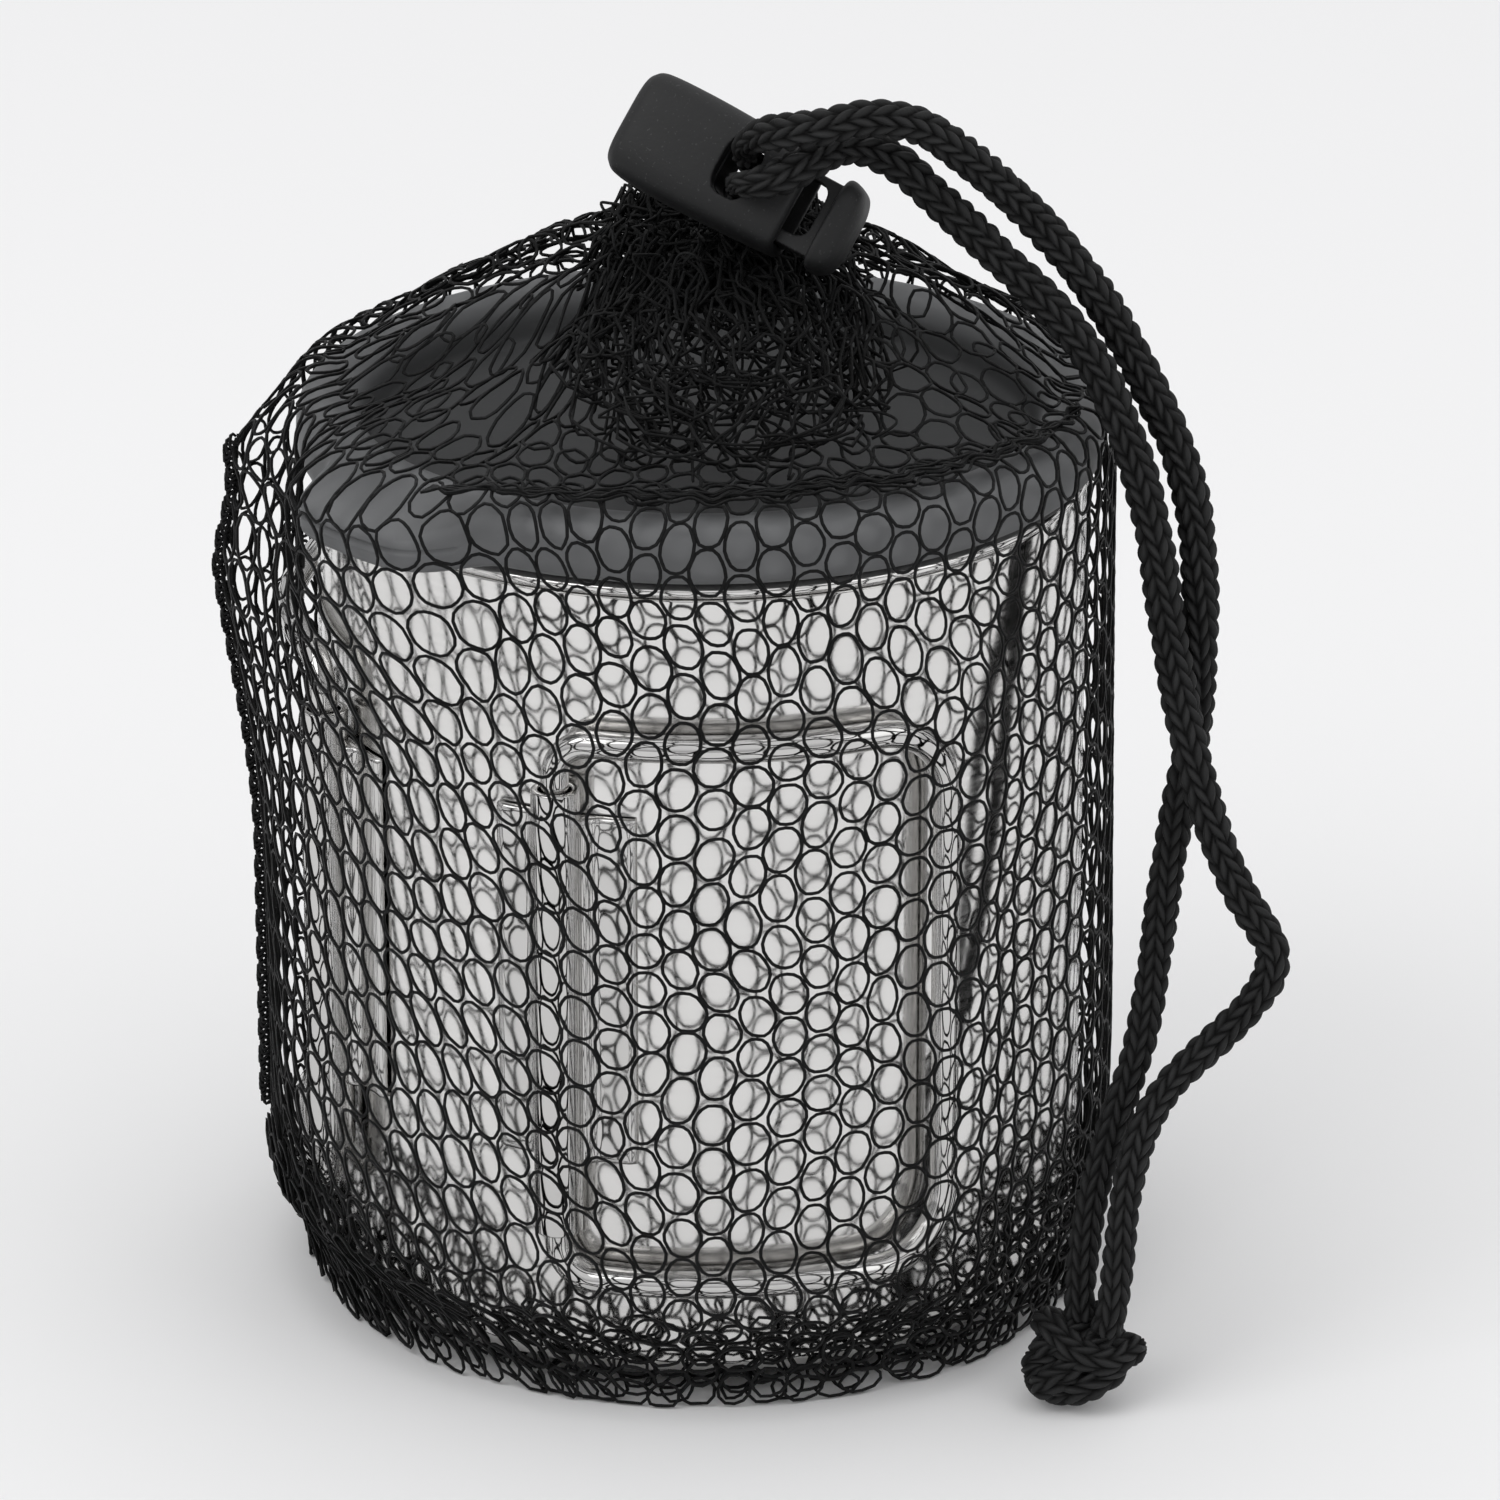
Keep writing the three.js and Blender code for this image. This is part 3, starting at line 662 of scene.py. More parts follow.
# ---------------------------------------------------------------- the lid
@dataclass
class Lid:
    """A grey press-in lid with a dished top and a thumb tab, and the sealing ring in its plug."""

    finish: bpy.types.Material
    rubber: bpy.types.Material
    tab_angle: float = -47.0
    tab_reach: float = 7.5
    tab_half: float = 14.2
    profile: Points = (
        (34.6, 96), (35.8, 96.5), (36.3, 97.6), (36.9, 99.6), (38, 101), (39.6, 101.6), (41.2, 101.6),
        (42.9, 101), (43.8, 99.8), (44, 98.4), (44, 96.4), (43.7, 95.4), (43, 94.9), (38, 94.9),
        (37.6, 94.5), (37.6, 91.2), (36.3, 91.2), (36.3, 88.8), (37.6, 88.8), (37.6, 87), (37, 86),
        (35.4, 86), (35, 93.4), (34.6, 93.4),
    )
    ring: Points = ((36.6, 89.1), (37.6, 89.1), (38.3, 89.6), (38.3, 90.4), (37.6, 90.9), (36.6, 90.9))

    def build(self) -> None:
        """Makes the lid's body and its seal."""
        piece("lid_body.moulding", self.body(), self.finish, Body.LID, Slot.LID, "lid_body")
        ring = turned(rounded(self.ring, 0.3, True), True)
        piece("lid_seal.ring", ring, self.rubber, Body.LID, Slot.SEAL, "lid_seal")

    def body(self) -> Shell:
        """The turned profile, whose rim is carried outwards at the tab.

        Returns:
            A skin of points at radius r + e(a) w, where e is the tab's bell curve round the mug and w grows
            from 0 inside the rim to 1 at its edge. The tab's top lies a little lower than the rim. Points
            down in the dish are marked as hollow, which the lid's material darkens as painted shade.
        """
        p = rounded(self.profile, 0.9, False, 6)
        angle = np.arange(360)
        away = (angle - self.tab_angle + 180) % 360 - 180
        bell = np.exp(-((np.abs(away) / self.tab_half) ** 6))[None]
        r, z = p[:, :1], p[:, 1:]
        above = z > 95.6
        weight = np.where(above, smoothstep(41.4, 43.9, r), smoothstep(38.2, 43.6, r))
        weight = np.where(z < 94.8, 0, weight)
        drop = 1.3 * bell * smoothstep(41.2, 43, r) * (z > 98)
        shape = skin(polar(angle[None], r + self.tab_reach * bell * weight, z - drop))
        # Painted shade mask: 1 on the dish's floor, fading to 0 up its wall towards the rim; the lid's
        # material darkens these points.
        in_dish = ((r < 39.8) & (z > 95.5)) * (1 - smoothstep(97.0, 101.3, z))
        return Shell(shape.points, shape.faces, None, np.r_[np.repeat(in_dish, len(angle)), 1.0, 0.0])


# ---------------------------------------------------------------- the bag
@dataclass
class BagForm:
    """Where the bag's net lies: a point for each angle round the mug and each run up from the ground."""

    bag_r: float = 44.9
    shoulder: float = 98.0
    throat: tuple[float, float] = (2.0, 2.5)
    throat_r: float = 7.0
    tent: float = 21.5
    handle_bulge: float = 2.8
    foot_draw: float = 1.9
    tab_bulge: float = 7.8
    tab_angle: float = -47.0
    curve: Points = (
        (1, 98), (0.99, 100.7), (0.95, 102.5), (0.86, 103.1), (0.72, 102.9), (0.57, 103.6), (0.42, 105.9),
        (0.26, 109.2), (0.1, 111.6),
    )
    seam_angle: float = -88.0

    def __post_init__(self) -> None:
        """Works out the shoulder's run, share and height tables."""
        reach = 38
        scaled = smooth_line(np.asarray(self.curve) * [reach, 1], 0.5)
        self.runs = self.shoulder + distances(scaled)
        self.shares, self.heights = scaled[:, 0] / reach, scaled[:, 1]

    @property
    def end(self) -> float:
        """The run at the throat."""
        return float(self.runs[-1])

    def radius(self, angle: np.ndarray, z: np.ndarray) -> np.ndarray:
        """The net's inside radius: swollen over handles, tab and side seam, and drawn in at the foot."""
        angle = (angle + 180) % 360 - 180
        over = smoothstep(-132, -118, angle) * (1 - smoothstep(36, 50, angle))
        handles = self.handle_bulge * over * smoothstep(7, 13, z) * (1 - smoothstep(80, 92, z))
        foot = -self.foot_draw * (1 - smoothstep(0, 12, z))
        tab = self.tab_bulge * np.exp(-(((angle - self.tab_angle) / 17) ** 4))
        tab = tab * smoothstep(56, 94, z) * (1 - smoothstep(100, 106, z))
        ridge = (0.1 + 5.2 * smoothstep(48, 97, z)) * np.exp(-(((angle - self.seam_angle) / 9) ** 2))
        ridge = ridge * (1 - smoothstep(94.5, 103, z))
        return np.maximum(self.bag_r + handles + foot + ridge, self.bag_r + foot + tab)

    def point(self, angle: np.ndarray, run: np.ndarray, lift: np.ndarray | float = 0.5) -> np.ndarray:
        """Points on the bag.

        Args:
            angle: Degrees round the mug.
            run: Distance up the net: height on the wall, then along the shoulder to the throat.
            lift: How far off the bag's inside the points lie.

        Returns:
            On the wall the point at the net's radius. On the shoulder the radius shrinks with the share of
            the way left to the throat, the centre moves to the throat, and low pleats run round it. Away
            from the front the net is lifted from the lid towards a cone on the rim, like a tent.
        """
        angle, run, lift = np.broadcast_arrays(angle, run, lift)
        share = np.interp(run, self.runs, self.shares)
        z = np.where(run < self.shoulder, run, np.interp(run, self.runs, self.heights))
        wall = self.radius(angle, z)
        slack = 0.3 * np.sin(np.radians(5 * angle + 2.1 * run)) * smoothstep(14, 30, run)
        r = self.throat_r + (wall + slack - self.throat_r) * share + lift * share
        a = np.radians(angle)
        open_part = smoothstep(1.0, 0.55, share)
        pleats = open_part * (0.8 * np.sin(13 * a + 4 * share) + 0.5 * np.sin(21 * a - 9 * share + 1))
        from_front = np.abs((angle + 192) % 360 - 180)
        cone = self.shoulder + self.tent * (1 - share) ** 0.86 + 1.6 * np.sin(np.pi * share)
        raised = smoothstep(38, 96, from_front) * np.maximum(cone - z, 0) * (run >= self.shoulder)
        out = polar(angle, r, z + lift * (1 - share**6) + pleats + raised)
        out[..., :2] += np.asarray(self.throat) * (1 - share)[..., None]
        return out

    def off(self, angle: np.ndarray, run: np.ndarray) -> np.ndarray:
        """Directions straight off the net, by small steps along and up it."""
        here = self.point(angle, run)
        along = self.point(angle + 0.4, run) - here
        up = self.point(angle, run + 0.3) - here
        return unit(np.cross(along, up))


@dataclass
class Net:
    """The knitted net: one closed ring of yarn to a mesh, its neighbours lying beside it."""

    form: BagForm
    finish: bpy.types.Material
    columns: int = 82
    pitch: float = 5.1
    yarn: float = 0.225
    inset: float = 0.1
    lowest: float = 0.35
    rows: tuple[int, int] = (-11, 34)
    low_rows: tuple[int, int] = (-14, 14)
    bands: Points = ((82, 107.5), (66, 116), (50, 125), (34, np.inf))
    bunches: Points = ((84, 3.7), (72, 3.3), (76, 3.6))

    def outline(self, points: int, roundness: float) -> np.ndarray:
        """A mesh's outline with radius 1 to its side corners.

        Args:
            points: Points round the outline.
            roundness: 0 for a hexagon, 1 for a circle of its flat width.

        Returns:
            (points, 2): a hexagon's radius 0.866 / cos(a mod 60 - 30), mixed with a circle's.
        """
        a = TAU * (np.arange(points) + 0.5) / points
        hexagon = 0.866 / np.cos(np.mod(a, TAU / 6) - TAU / 12)
        r = (1 - roundness) * hexagon + roundness * 0.9 - self.inset
        return np.stack([r * np.cos(a), r * np.sin(a)], axis=1)

    def shear(self, angle: np.ndarray) -> np.ndarray:
        """How far the rows have climbed: up towards the side seam on the left, in slow waves behind."""
        left = np.clip((-8 - angle) / 80, 0, 1)
        behind = smoothstep(70, 150, angle)
        return 36 * left**1.35 + behind * 7 * np.sin(np.radians(2.2 * (angle - 70)))

    def laid(
        self,
        centre: np.ndarray,
        half: tuple[float, float],
        outline: np.ndarray,
        lift: np.ndarray | float,
        rough: float,
        rng: np.random.Generator,
    ) -> Shell:
        """Lays yarn rings on the bag.

        Args:
            centre: (meshes, 2) flat places, degrees from the front and run.
            half: Half width in degrees and half height in millimetres of a mesh, to its corners.
            outline: One mesh's outline, (points, 2).
            lift: How far off the bag's inside, a number or one for each mesh.
            rough: How unequal the meshes are.
            rng: Random numbers.

        Returns:
            The shell of all rings, after the flat knitting is warped by slow waves and by its shear.
        """
        size = 1 + rough * rng.normal(0, 0.35, (len(centre), 1, 2))
        flat = centre[:, None] + outline[None] * half * np.clip(size, 0.55, 1.25)
        a, run = flat[..., 0], flat[..., 1]
        wave = 0.9 * np.sin(0.11 * a + 0.19 * run) + 0.7 * np.sin(0.23 * a - 0.13 * run + 2)
        sway = 0.5 * np.sin(0.17 * run + 0.05 * a) + 0.35 * np.sin(0.31 * run - 0.14 * a)
        nudge = rough * rng.normal(0, 1, (2, len(centre), 1))
        a = a + sway * 1.1 + nudge[0] + rough * rng.normal(0, 0.25, a.shape)
        run = run + 0.45 * wave + self.shear(a) + nudge[1] + rough * rng.normal(0, 0.15, run.shape)
        lift = np.broadcast_to(np.asarray(lift, float).reshape(-1, 1), a.shape)
        ripple = rough * rng.normal(0, 0.2, a.shape)
        line = self.form.point(a, run, lift + ripple)
        line[..., 2] = np.maximum(line[..., 2], self.lowest)
        return yarns(line, self.form.off(a, run), self.yarn, 3, True)

    def knitted(self, columns: int, pitch: float, rows: tuple[int, int]) -> tuple[np.ndarray, np.ndarray]:
        """Flat middles of the meshes, every second column half a mesh higher, and how far up each ends."""
        column, row = np.meshgrid(np.arange(columns), np.arange(*rows))
        angle = self.form.seam_angle + 360 * (column + 0.5) / columns
        meshes = np.stack([angle, (row + 0.5 * (column % 2)) * pitch], axis=-1).reshape(-1, 2)
        return meshes, meshes[:, 1] + self.shear(meshes[:, 0])

    def half(self, columns: int, pitch: float) -> tuple[float, float]:
        """A mesh's half width in degrees and half height, to its corners."""
        return 360 / columns / 1.5, pitch / 2 / 0.866

    def bunch_top(self, angle: np.ndarray) -> np.ndarray:
        """Height of the bunched bottom: more net is gathered at the pouch's two bottom corners."""
        left = 11 * np.exp(-(((angle + 74) / 26) ** 2))
        right = 9 * np.exp(-(((angle - 66) / 26) ** 2))
        return 11.5 + left + right

    def build(self, hem: list[bpy.types.Object]) -> None:
        """Makes the wall, the shoulder and the bunched bottom.

        Args:
            hem: The pieces at the throat. Not used.
        """
        rng = np.random.default_rng(SEED)
        meshes, lifted = self.knitted(self.columns, self.pitch, self.rows)
        half = self.half(self.columns, self.pitch)
        top = self.form.shoulder + 2
        wall = meshes[(lifted > self.bunch_top(meshes[:, 0]) - 3) & (lifted < top)]
        shape = self.laid(wall, half, self.outline(18, 0.62), 0.5, 0.10, rng)
        made = piece("bag_wall.net", shape, self.finish, Body.BAG, Slot.NET, "bag_wall")
        made = piece("bag_shoulder.net", self.shoulder(top, rng), self.finish, Body.BAG, Slot.NET)
        self.bottom(rng)

    def shoulder(self, top: float, rng: np.random.Generator) -> Shell:
        """The net over the lid: bands with fewer and fewer columns, because the rest is folded under.

        Args:
            top: The run where the wall's meshes end.
            rng: Random numbers.

        Returns:
            The shell of all bands.
        """
        shells, low = [], top
        for columns, high in self.bands:
            high = min(high, self.form.end)
            meshes, lifted = self.knitted(columns, self.pitch, self.rows)
            kept = meshes[(lifted >= low) & (lifted < high)]
            half = self.half(columns, self.pitch)
            shells.append(self.laid(kept, half, self.outline(16, 0.6), 0.5, 0.16, rng))
            low = high - 0.6
        return joined(shells)

    def bottom(self, rng: np.random.Generator) -> None:
        """Makes the bunched bottom: layers of narrow, unequal meshes, and a flat layer below.

        Args:
            rng: Random numbers.
        """
        shells = []
        for layer, (columns, pitch) in enumerate(self.bunches):
            meshes, lifted = self.knitted(columns, pitch, self.low_rows)
            ceiling = self.bunch_top(meshes[:, 0]) - 1.4 * layer + rng.normal(0, 1.5, len(meshes))
            kept = meshes[(lifted > 1.2) & (lifted < ceiling)]
            lift = 0.2 + 0.45 * layer + rng.normal(0, 0.2, len(kept))
            outline = self.outline(11, 0.5)
            shells.append(self.laid(kept, self.half(columns, pitch), outline, lift, 0.36, rng))
        shells.append(self.floor_layer())
        made = piece("bag_base.net", joined(shells), self.finish, Body.BAG, Slot.NET, "bag_base")

    def floor_layer(self) -> Shell:
        """One flat layer of meshes under the mug, each ring at its place in a hexagonal lattice."""
        step, edge, height = 3.53, 38.6, 0.75
        i, j = np.meshgrid(np.arange(-12, 13), np.arange(-9, 10))
        centre = np.stack([i * step, (j + 0.5 * (i % 2)) * self.pitch], axis=-1).reshape(-1, 2)
        centre = centre[np.hypot(*centre.T) < edge]
        flat = centre[:, None] + self.outline(12, 0.5)[None] * [step / 1.5, self.pitch / 1.732]
        line = np.concatenate([flat, np.full((*flat.shape[:2], 1), height)], axis=-1)
        return yarns(line, np.broadcast_to([0.0, 0.0, 1.0], line.shape), self.yarn, 3, True)


@dataclass
class Seams:
    """The pouch's overlocked side seam and bottom seam: yarns wound round the doubled edge of the net."""

    form: BagForm
    finish: bpy.types.Material
    side_yarn: float = 0.2
    bottom_yarn: float = 0.18
    side_reach: tuple[float, float] = (17.3, 79.0)
    bottom_half: float = 35.4

    def build(self) -> None:
        """Makes both seams, each of three yarns wound a third of a turn apart."""
        for name, node, thread in (
            ("side_seam.overlock", "side_seam", self.side),
            ("bottom_seam.overlock", "bottom_seam", self.bottom),
        ):
            shape = joined([thread(phase) for phase in (0.0, 2.1, 4.2)])
            piece(name, shape, self.finish, Body.BAG, Slot.NET, node)

    def side(self, phase: float) -> Shell:
        """One yarn up the side seam: a helix whose radius breathes a little."""
        turns = np.arange(0, 48, 1 / 12)
        low, reach = self.side_reach
        height = low + turns / turns[-1] * reach
        a, angle = TAU * turns + phase, self.form.seam_angle
        out = self.form.radius(angle, height) + 1.0 + 0.55 * np.cos(a) + 0.2 * np.sin(3.1 * turns + phase)
        at = polar(angle, out, height + 0.5 * np.sin(2 * a))
        across = np.array([-np.cos(np.radians(angle)), -np.sin(np.radians(angle)), 0])
        line = (at + 0.45 * np.sin(a)[:, None] * across)[None]
        return yarns(line, np.broadcast_to([0, 0.2, 1.0], line.shape), self.side_yarn, 4, False)

    def bottom(self, phase: float) -> Shell:
        """One yarn along the bottom seam: a flat helix between the mug's foot and the ground."""
        a = TAU * np.arange(0, 58, 1 / 12) + phase
        x = np.linspace(-self.bottom_half, self.bottom_half, len(a))
        line = np.stack([x, 6 + 1.3 * np.cos(a), 1.36 + 0.2 * np.sin(a)], axis=1)[None]
        return yarns(line, np.broadcast_to([1.0, 0, 0.1], line.shape), self.bottom_yarn, 4, False)


@dataclass
class Throat:
    """The drawn-in mouth of the bag: pleated hem, frill, frayed yarn ends and a fold over the lid."""

    form: BagForm
    finish: bpy.types.Material
    yarn: float = 0.2
    hem_top: float = 118.4
    ruffles: Points = ((22, 6), (26, 5), (20, 6), (30, 5), (16, 6))

    def centre(self) -> np.ndarray:
        """The middle of the throat."""
        return np.array([*self.form.throat, 0.0])

    def build(self) -> list[bpy.types.Object]:
        """Makes the throat's pieces.

        Returns:
            The hem, and the fold that lies across the front of the lid.
        """
        rng = np.random.default_rng(SEED + 1)
        parts = (
            ("hem_channel.pleats", self.hem(), ("hem_channel",)),
            ("hem_frill.net", self.frill(rng), ("hem_frill",)),
            ("hem_frill.frayed_ends", self.curls(rng), ()),
            ("bag_shoulder.fold", self.fold(rng), ()),
        )
        hem, frill, ends, fold = (
            piece(name, shape, self.finish, Body.BAG, Slot.NET, *nodes) for name, shape, nodes in parts
        )
        return [hem, fold]

    def hem(self) -> Shell:
        """A ring of pleated cloth: a torus whose section swells and pinches 31 times round."""
        ring_r, height, thick, pleats = 6.3, 114.0, 2.5, 31
        a = TAU * np.arange(12 * pleats) / (12 * pleats)
        b = TAU * np.arange(28) / 28
        fullness = np.sin(pleats * a + 2 * np.sin(3 * a))[:, None] * (1 + 0.3 * np.sin(2 * b))[None]
        pleat = 0.94 + 0.2 * fullness
        r = ring_r + thick * pleat * np.cos(b)[None]
        z = height + thick * pleat * np.sin(b)[None]
        rings = np.stack([r * np.sin(a)[:, None], -r * np.cos(a)[:, None], z], axis=-1)
        return skin(rings + self.centre(), wrap=True)

    def frill(self, rng: np.random.Generator) -> Shell:
        """Ruffled net outside the hem.

        Args:
            rng: Random numbers.

        Returns:
            Meshes on five ruffles. Each runs out from the hem, stands up at the back and falls on the lid in
            front. A mesh is a bent hexagon: its odd points lie halfway along its sides.
        """
        shells = []
        point, side_share = np.arange(12), 0.87
        for layer, (columns, rows) in enumerate(self.ruffles):
            count = columns * rows
            column, row = np.meshgrid(np.arange(columns), np.arange(rows))
            size = 1 + rng.normal(0, 0.3, (count, 1, 2))
            a0 = ((column + rng.random()) * 360 / columns).reshape(-1, 1) + rng.normal(0, 3, (count, 1))
            f0 = ((row + 0.5 * (column % 2)) / rows).reshape(-1, 1)
            turn = TAU * (point // 2 + 0.5 * (point % 2)) / 6 + rng.normal(0, 0.25, (count, 1))
            bent = 1 + 0.12 * np.cos(2 * turn + rng.uniform(0, TAU, turn[:, :1].shape))
            bent = bent * np.where(point % 2, side_share, 1.0)
            a = a0 + size[..., 0] * 225 / columns * bent * np.cos(turn)
            f = np.clip(f0 + size[..., 1] * 0.62 / rows * bent * np.sin(turn), 0, 1.12)
            tilt = rng.normal(0, 0.75, (2, count, 1))
            line = self.ruffle(a, f, layer)
            line[..., 2] += tilt[0] * np.cos(turn) + tilt[1] * np.sin(turn) + rng.normal(0, 0.5, a0.shape)
            up = np.broadcast_to([0.1, 0.2, 1.0], line.shape)
            shells.append(yarns(line, up, self.yarn, 4, True))
        return joined(shells)

    def ruffle(self, angle: np.ndarray, f: np.ndarray, layer: int) -> np.ndarray:
        """A ruffle's surface: radius and height from the angle and the share f of the way out."""
        a = np.radians(angle)
        ahead = 0.5 + 0.5 * np.cos(a - 0.05)
        reach = 7.5 + 22 * ahead**4 + 1.2 * np.sin(3 * a + layer) + 0.8 * layer
        r = 3.6 + reach * f + 1.1 * f * np.sin((6 + layer) * a + layer)
        drop = (3.2 + 11 * ahead**2) * f**1.25
        stand = 6 * (1 - ahead) * np.sin(np.pi * np.clip(f, 0, 1) * 0.7)
        wave = (1.0 + 1.2 * (1 - ahead)) * f * np.sin((5 + 2 * layer) * a + 2.2 * layer + 3 * f)
        z = self.hem_top - 0.4 * layer - drop + stand * (0.6 + 0.12 * layer) + wave
        z = np.maximum(z, 103.6 + 0.5 * layer)
        return polar(angle, r, z) + self.centre()

    def curls(self, rng: np.random.Generator) -> Shell:
        """Frayed yarn ends: short strands with two random waves each, thrown round the throat.

        Args:
            rng: Random numbers.

        Returns:
            The strands' shell.
        """
        count, near_hem, points = 150, 90, 18
        a = rng.normal(-2, 42, (count, 1))
        f = rng.uniform(0.0, 1.0, (count, 1)) ** 0.8
        start = self.ruffle(a, f, 1)[:, 0] + rng.normal(0, 0.7, (count, 3)) + [0, 0, 0.3]
        around, out = rng.uniform(-120, 120, near_hem), rng.uniform(3, 9.5, near_hem)
        start[:near_hem] = polar(around, out, self.hem_top - 0.1 * (out - 3) ** 1.7) + self.centre()
        heading = unit(start - self.centre() - [0, 0, 128] + rng.normal(0, 9, (count, 3)))
        t = np.linspace(-0.5, 0.5, points)[None, :, None]
        line = start[:, None] + heading[:, None] * t * rng.uniform(4, 10, (count, 1, 1))
        for cycles in (0.8, 1.9):
            push = rng.normal(0, 1, (count, 1, 3)) * [1.3, 1.3, 0.6] / cycles
            line = line + push * np.sin(TAU * cycles * t + rng.uniform(0, TAU, (count, 1, 1)))
        line[..., 2] = np.clip(line[..., 2], 103.4, 120.0)
        normal = np.broadcast_to(unit(rng.normal(0, 1, (count, 1, 3))), line.shape)
        return yarns(line, normal, self.yarn * 0.85, 4, False)

    def fold(self, rng: np.random.Generator) -> Shell:
        """A crease of the net across the front of the lid: wavy yarns beside each other.

        Args:
            rng: Random numbers.

        Returns:
            The yarns' shell.
        """
        count, points = 9, 150
        start, end = -38, 74
        angle = np.linspace(start, end, points)[None] + np.zeros((count, 1))
        phase = rng.uniform(0, TAU, (count, 1))
        drift = rng.normal(0, 0.8, (count, 1))
        share = np.sin(np.pi * (angle - start) / (end - start))
        run = self.form.shoulder + 6.6 + 2.4 * share + drift * share
        run = run + 0.55 * np.sin(np.radians(angle * 38) + phase)
        run = run + 0.35 * np.sin(np.radians(angle * 71) - phase)
        lift = 0.9 + 0.3 * np.sin(np.radians(angle * 53) + phase)
        return yarns(self.form.point(angle, run, lift), self.form.off(angle, run), self.yarn, 3, False)


# ---------------------------------------------------------------- the drawstring
@dataclass(frozen=True)
class Braid:
    """A knitted cord: wales of V stitches round it, each arm of a V a rounded strand."""

    wales: int = 4
    stitch: float = 2.05
    depth: float = 0.85
    slant: float = 0.9
    around: int = 72

    def tube(self, line: np.ndarray, width: np.ndarray, up: np.ndarray, flat: float = 0.9) -> Shell:
        """A cord along a line.

        Args:
            line: Centre points, 0.2 to 0.25 mm apart.
            width: The cord's outer diameter at each point.
            up: A direction, or one for each point, that the line never runs along.
            flat: Thickness over width.

        Returns:
            The cord's skin. Its radius is the outer one less depth x (1 - strand x arm), where strand rounds
            each stitch along its arm and arm pinches the cord between arms. (u, v) run round and along it.
        """
        run = distances(line)[:, None]
        turn = (np.arange(self.around) / self.around)[None]
        place = (turn + run / 95) * 2 * self.wales
        arm = np.mod(place, 1)
        lean = np.where(np.mod(np.floor(place), 2) < 1, arm, 1 - arm)
        strand = np.abs(np.sin(np.pi * (run / self.stitch + self.slant * lean))) ** 0.65
        ridge = np.abs(np.sin(np.pi * arm)) ** 0.4
        deep = self.depth * (width / 4.4)[:, None] * (1 - strand * ridge)
        squash = 1 - (1 - flat) * np.cos(TAU * turn) ** 2
        radius = (width[:, None] / 2 - deep) * squash
        rings = sweep(line, radius, up, self.around)
        uv = np.stack(np.broadcast_arrays(turn * 13, run), axis=-1)
        shape = skin(rings, uv=uv)
        # How deep each point lies between stitches, kept as the hollow attribute; the cord's material paints
        # these points darker as painted shade.
        sunk = np.concatenate([(1 - strand * ridge).ravel(), [0.0, 0.0]])
        return Shell(shape.points, shape.faces, shape.uv, sunk)


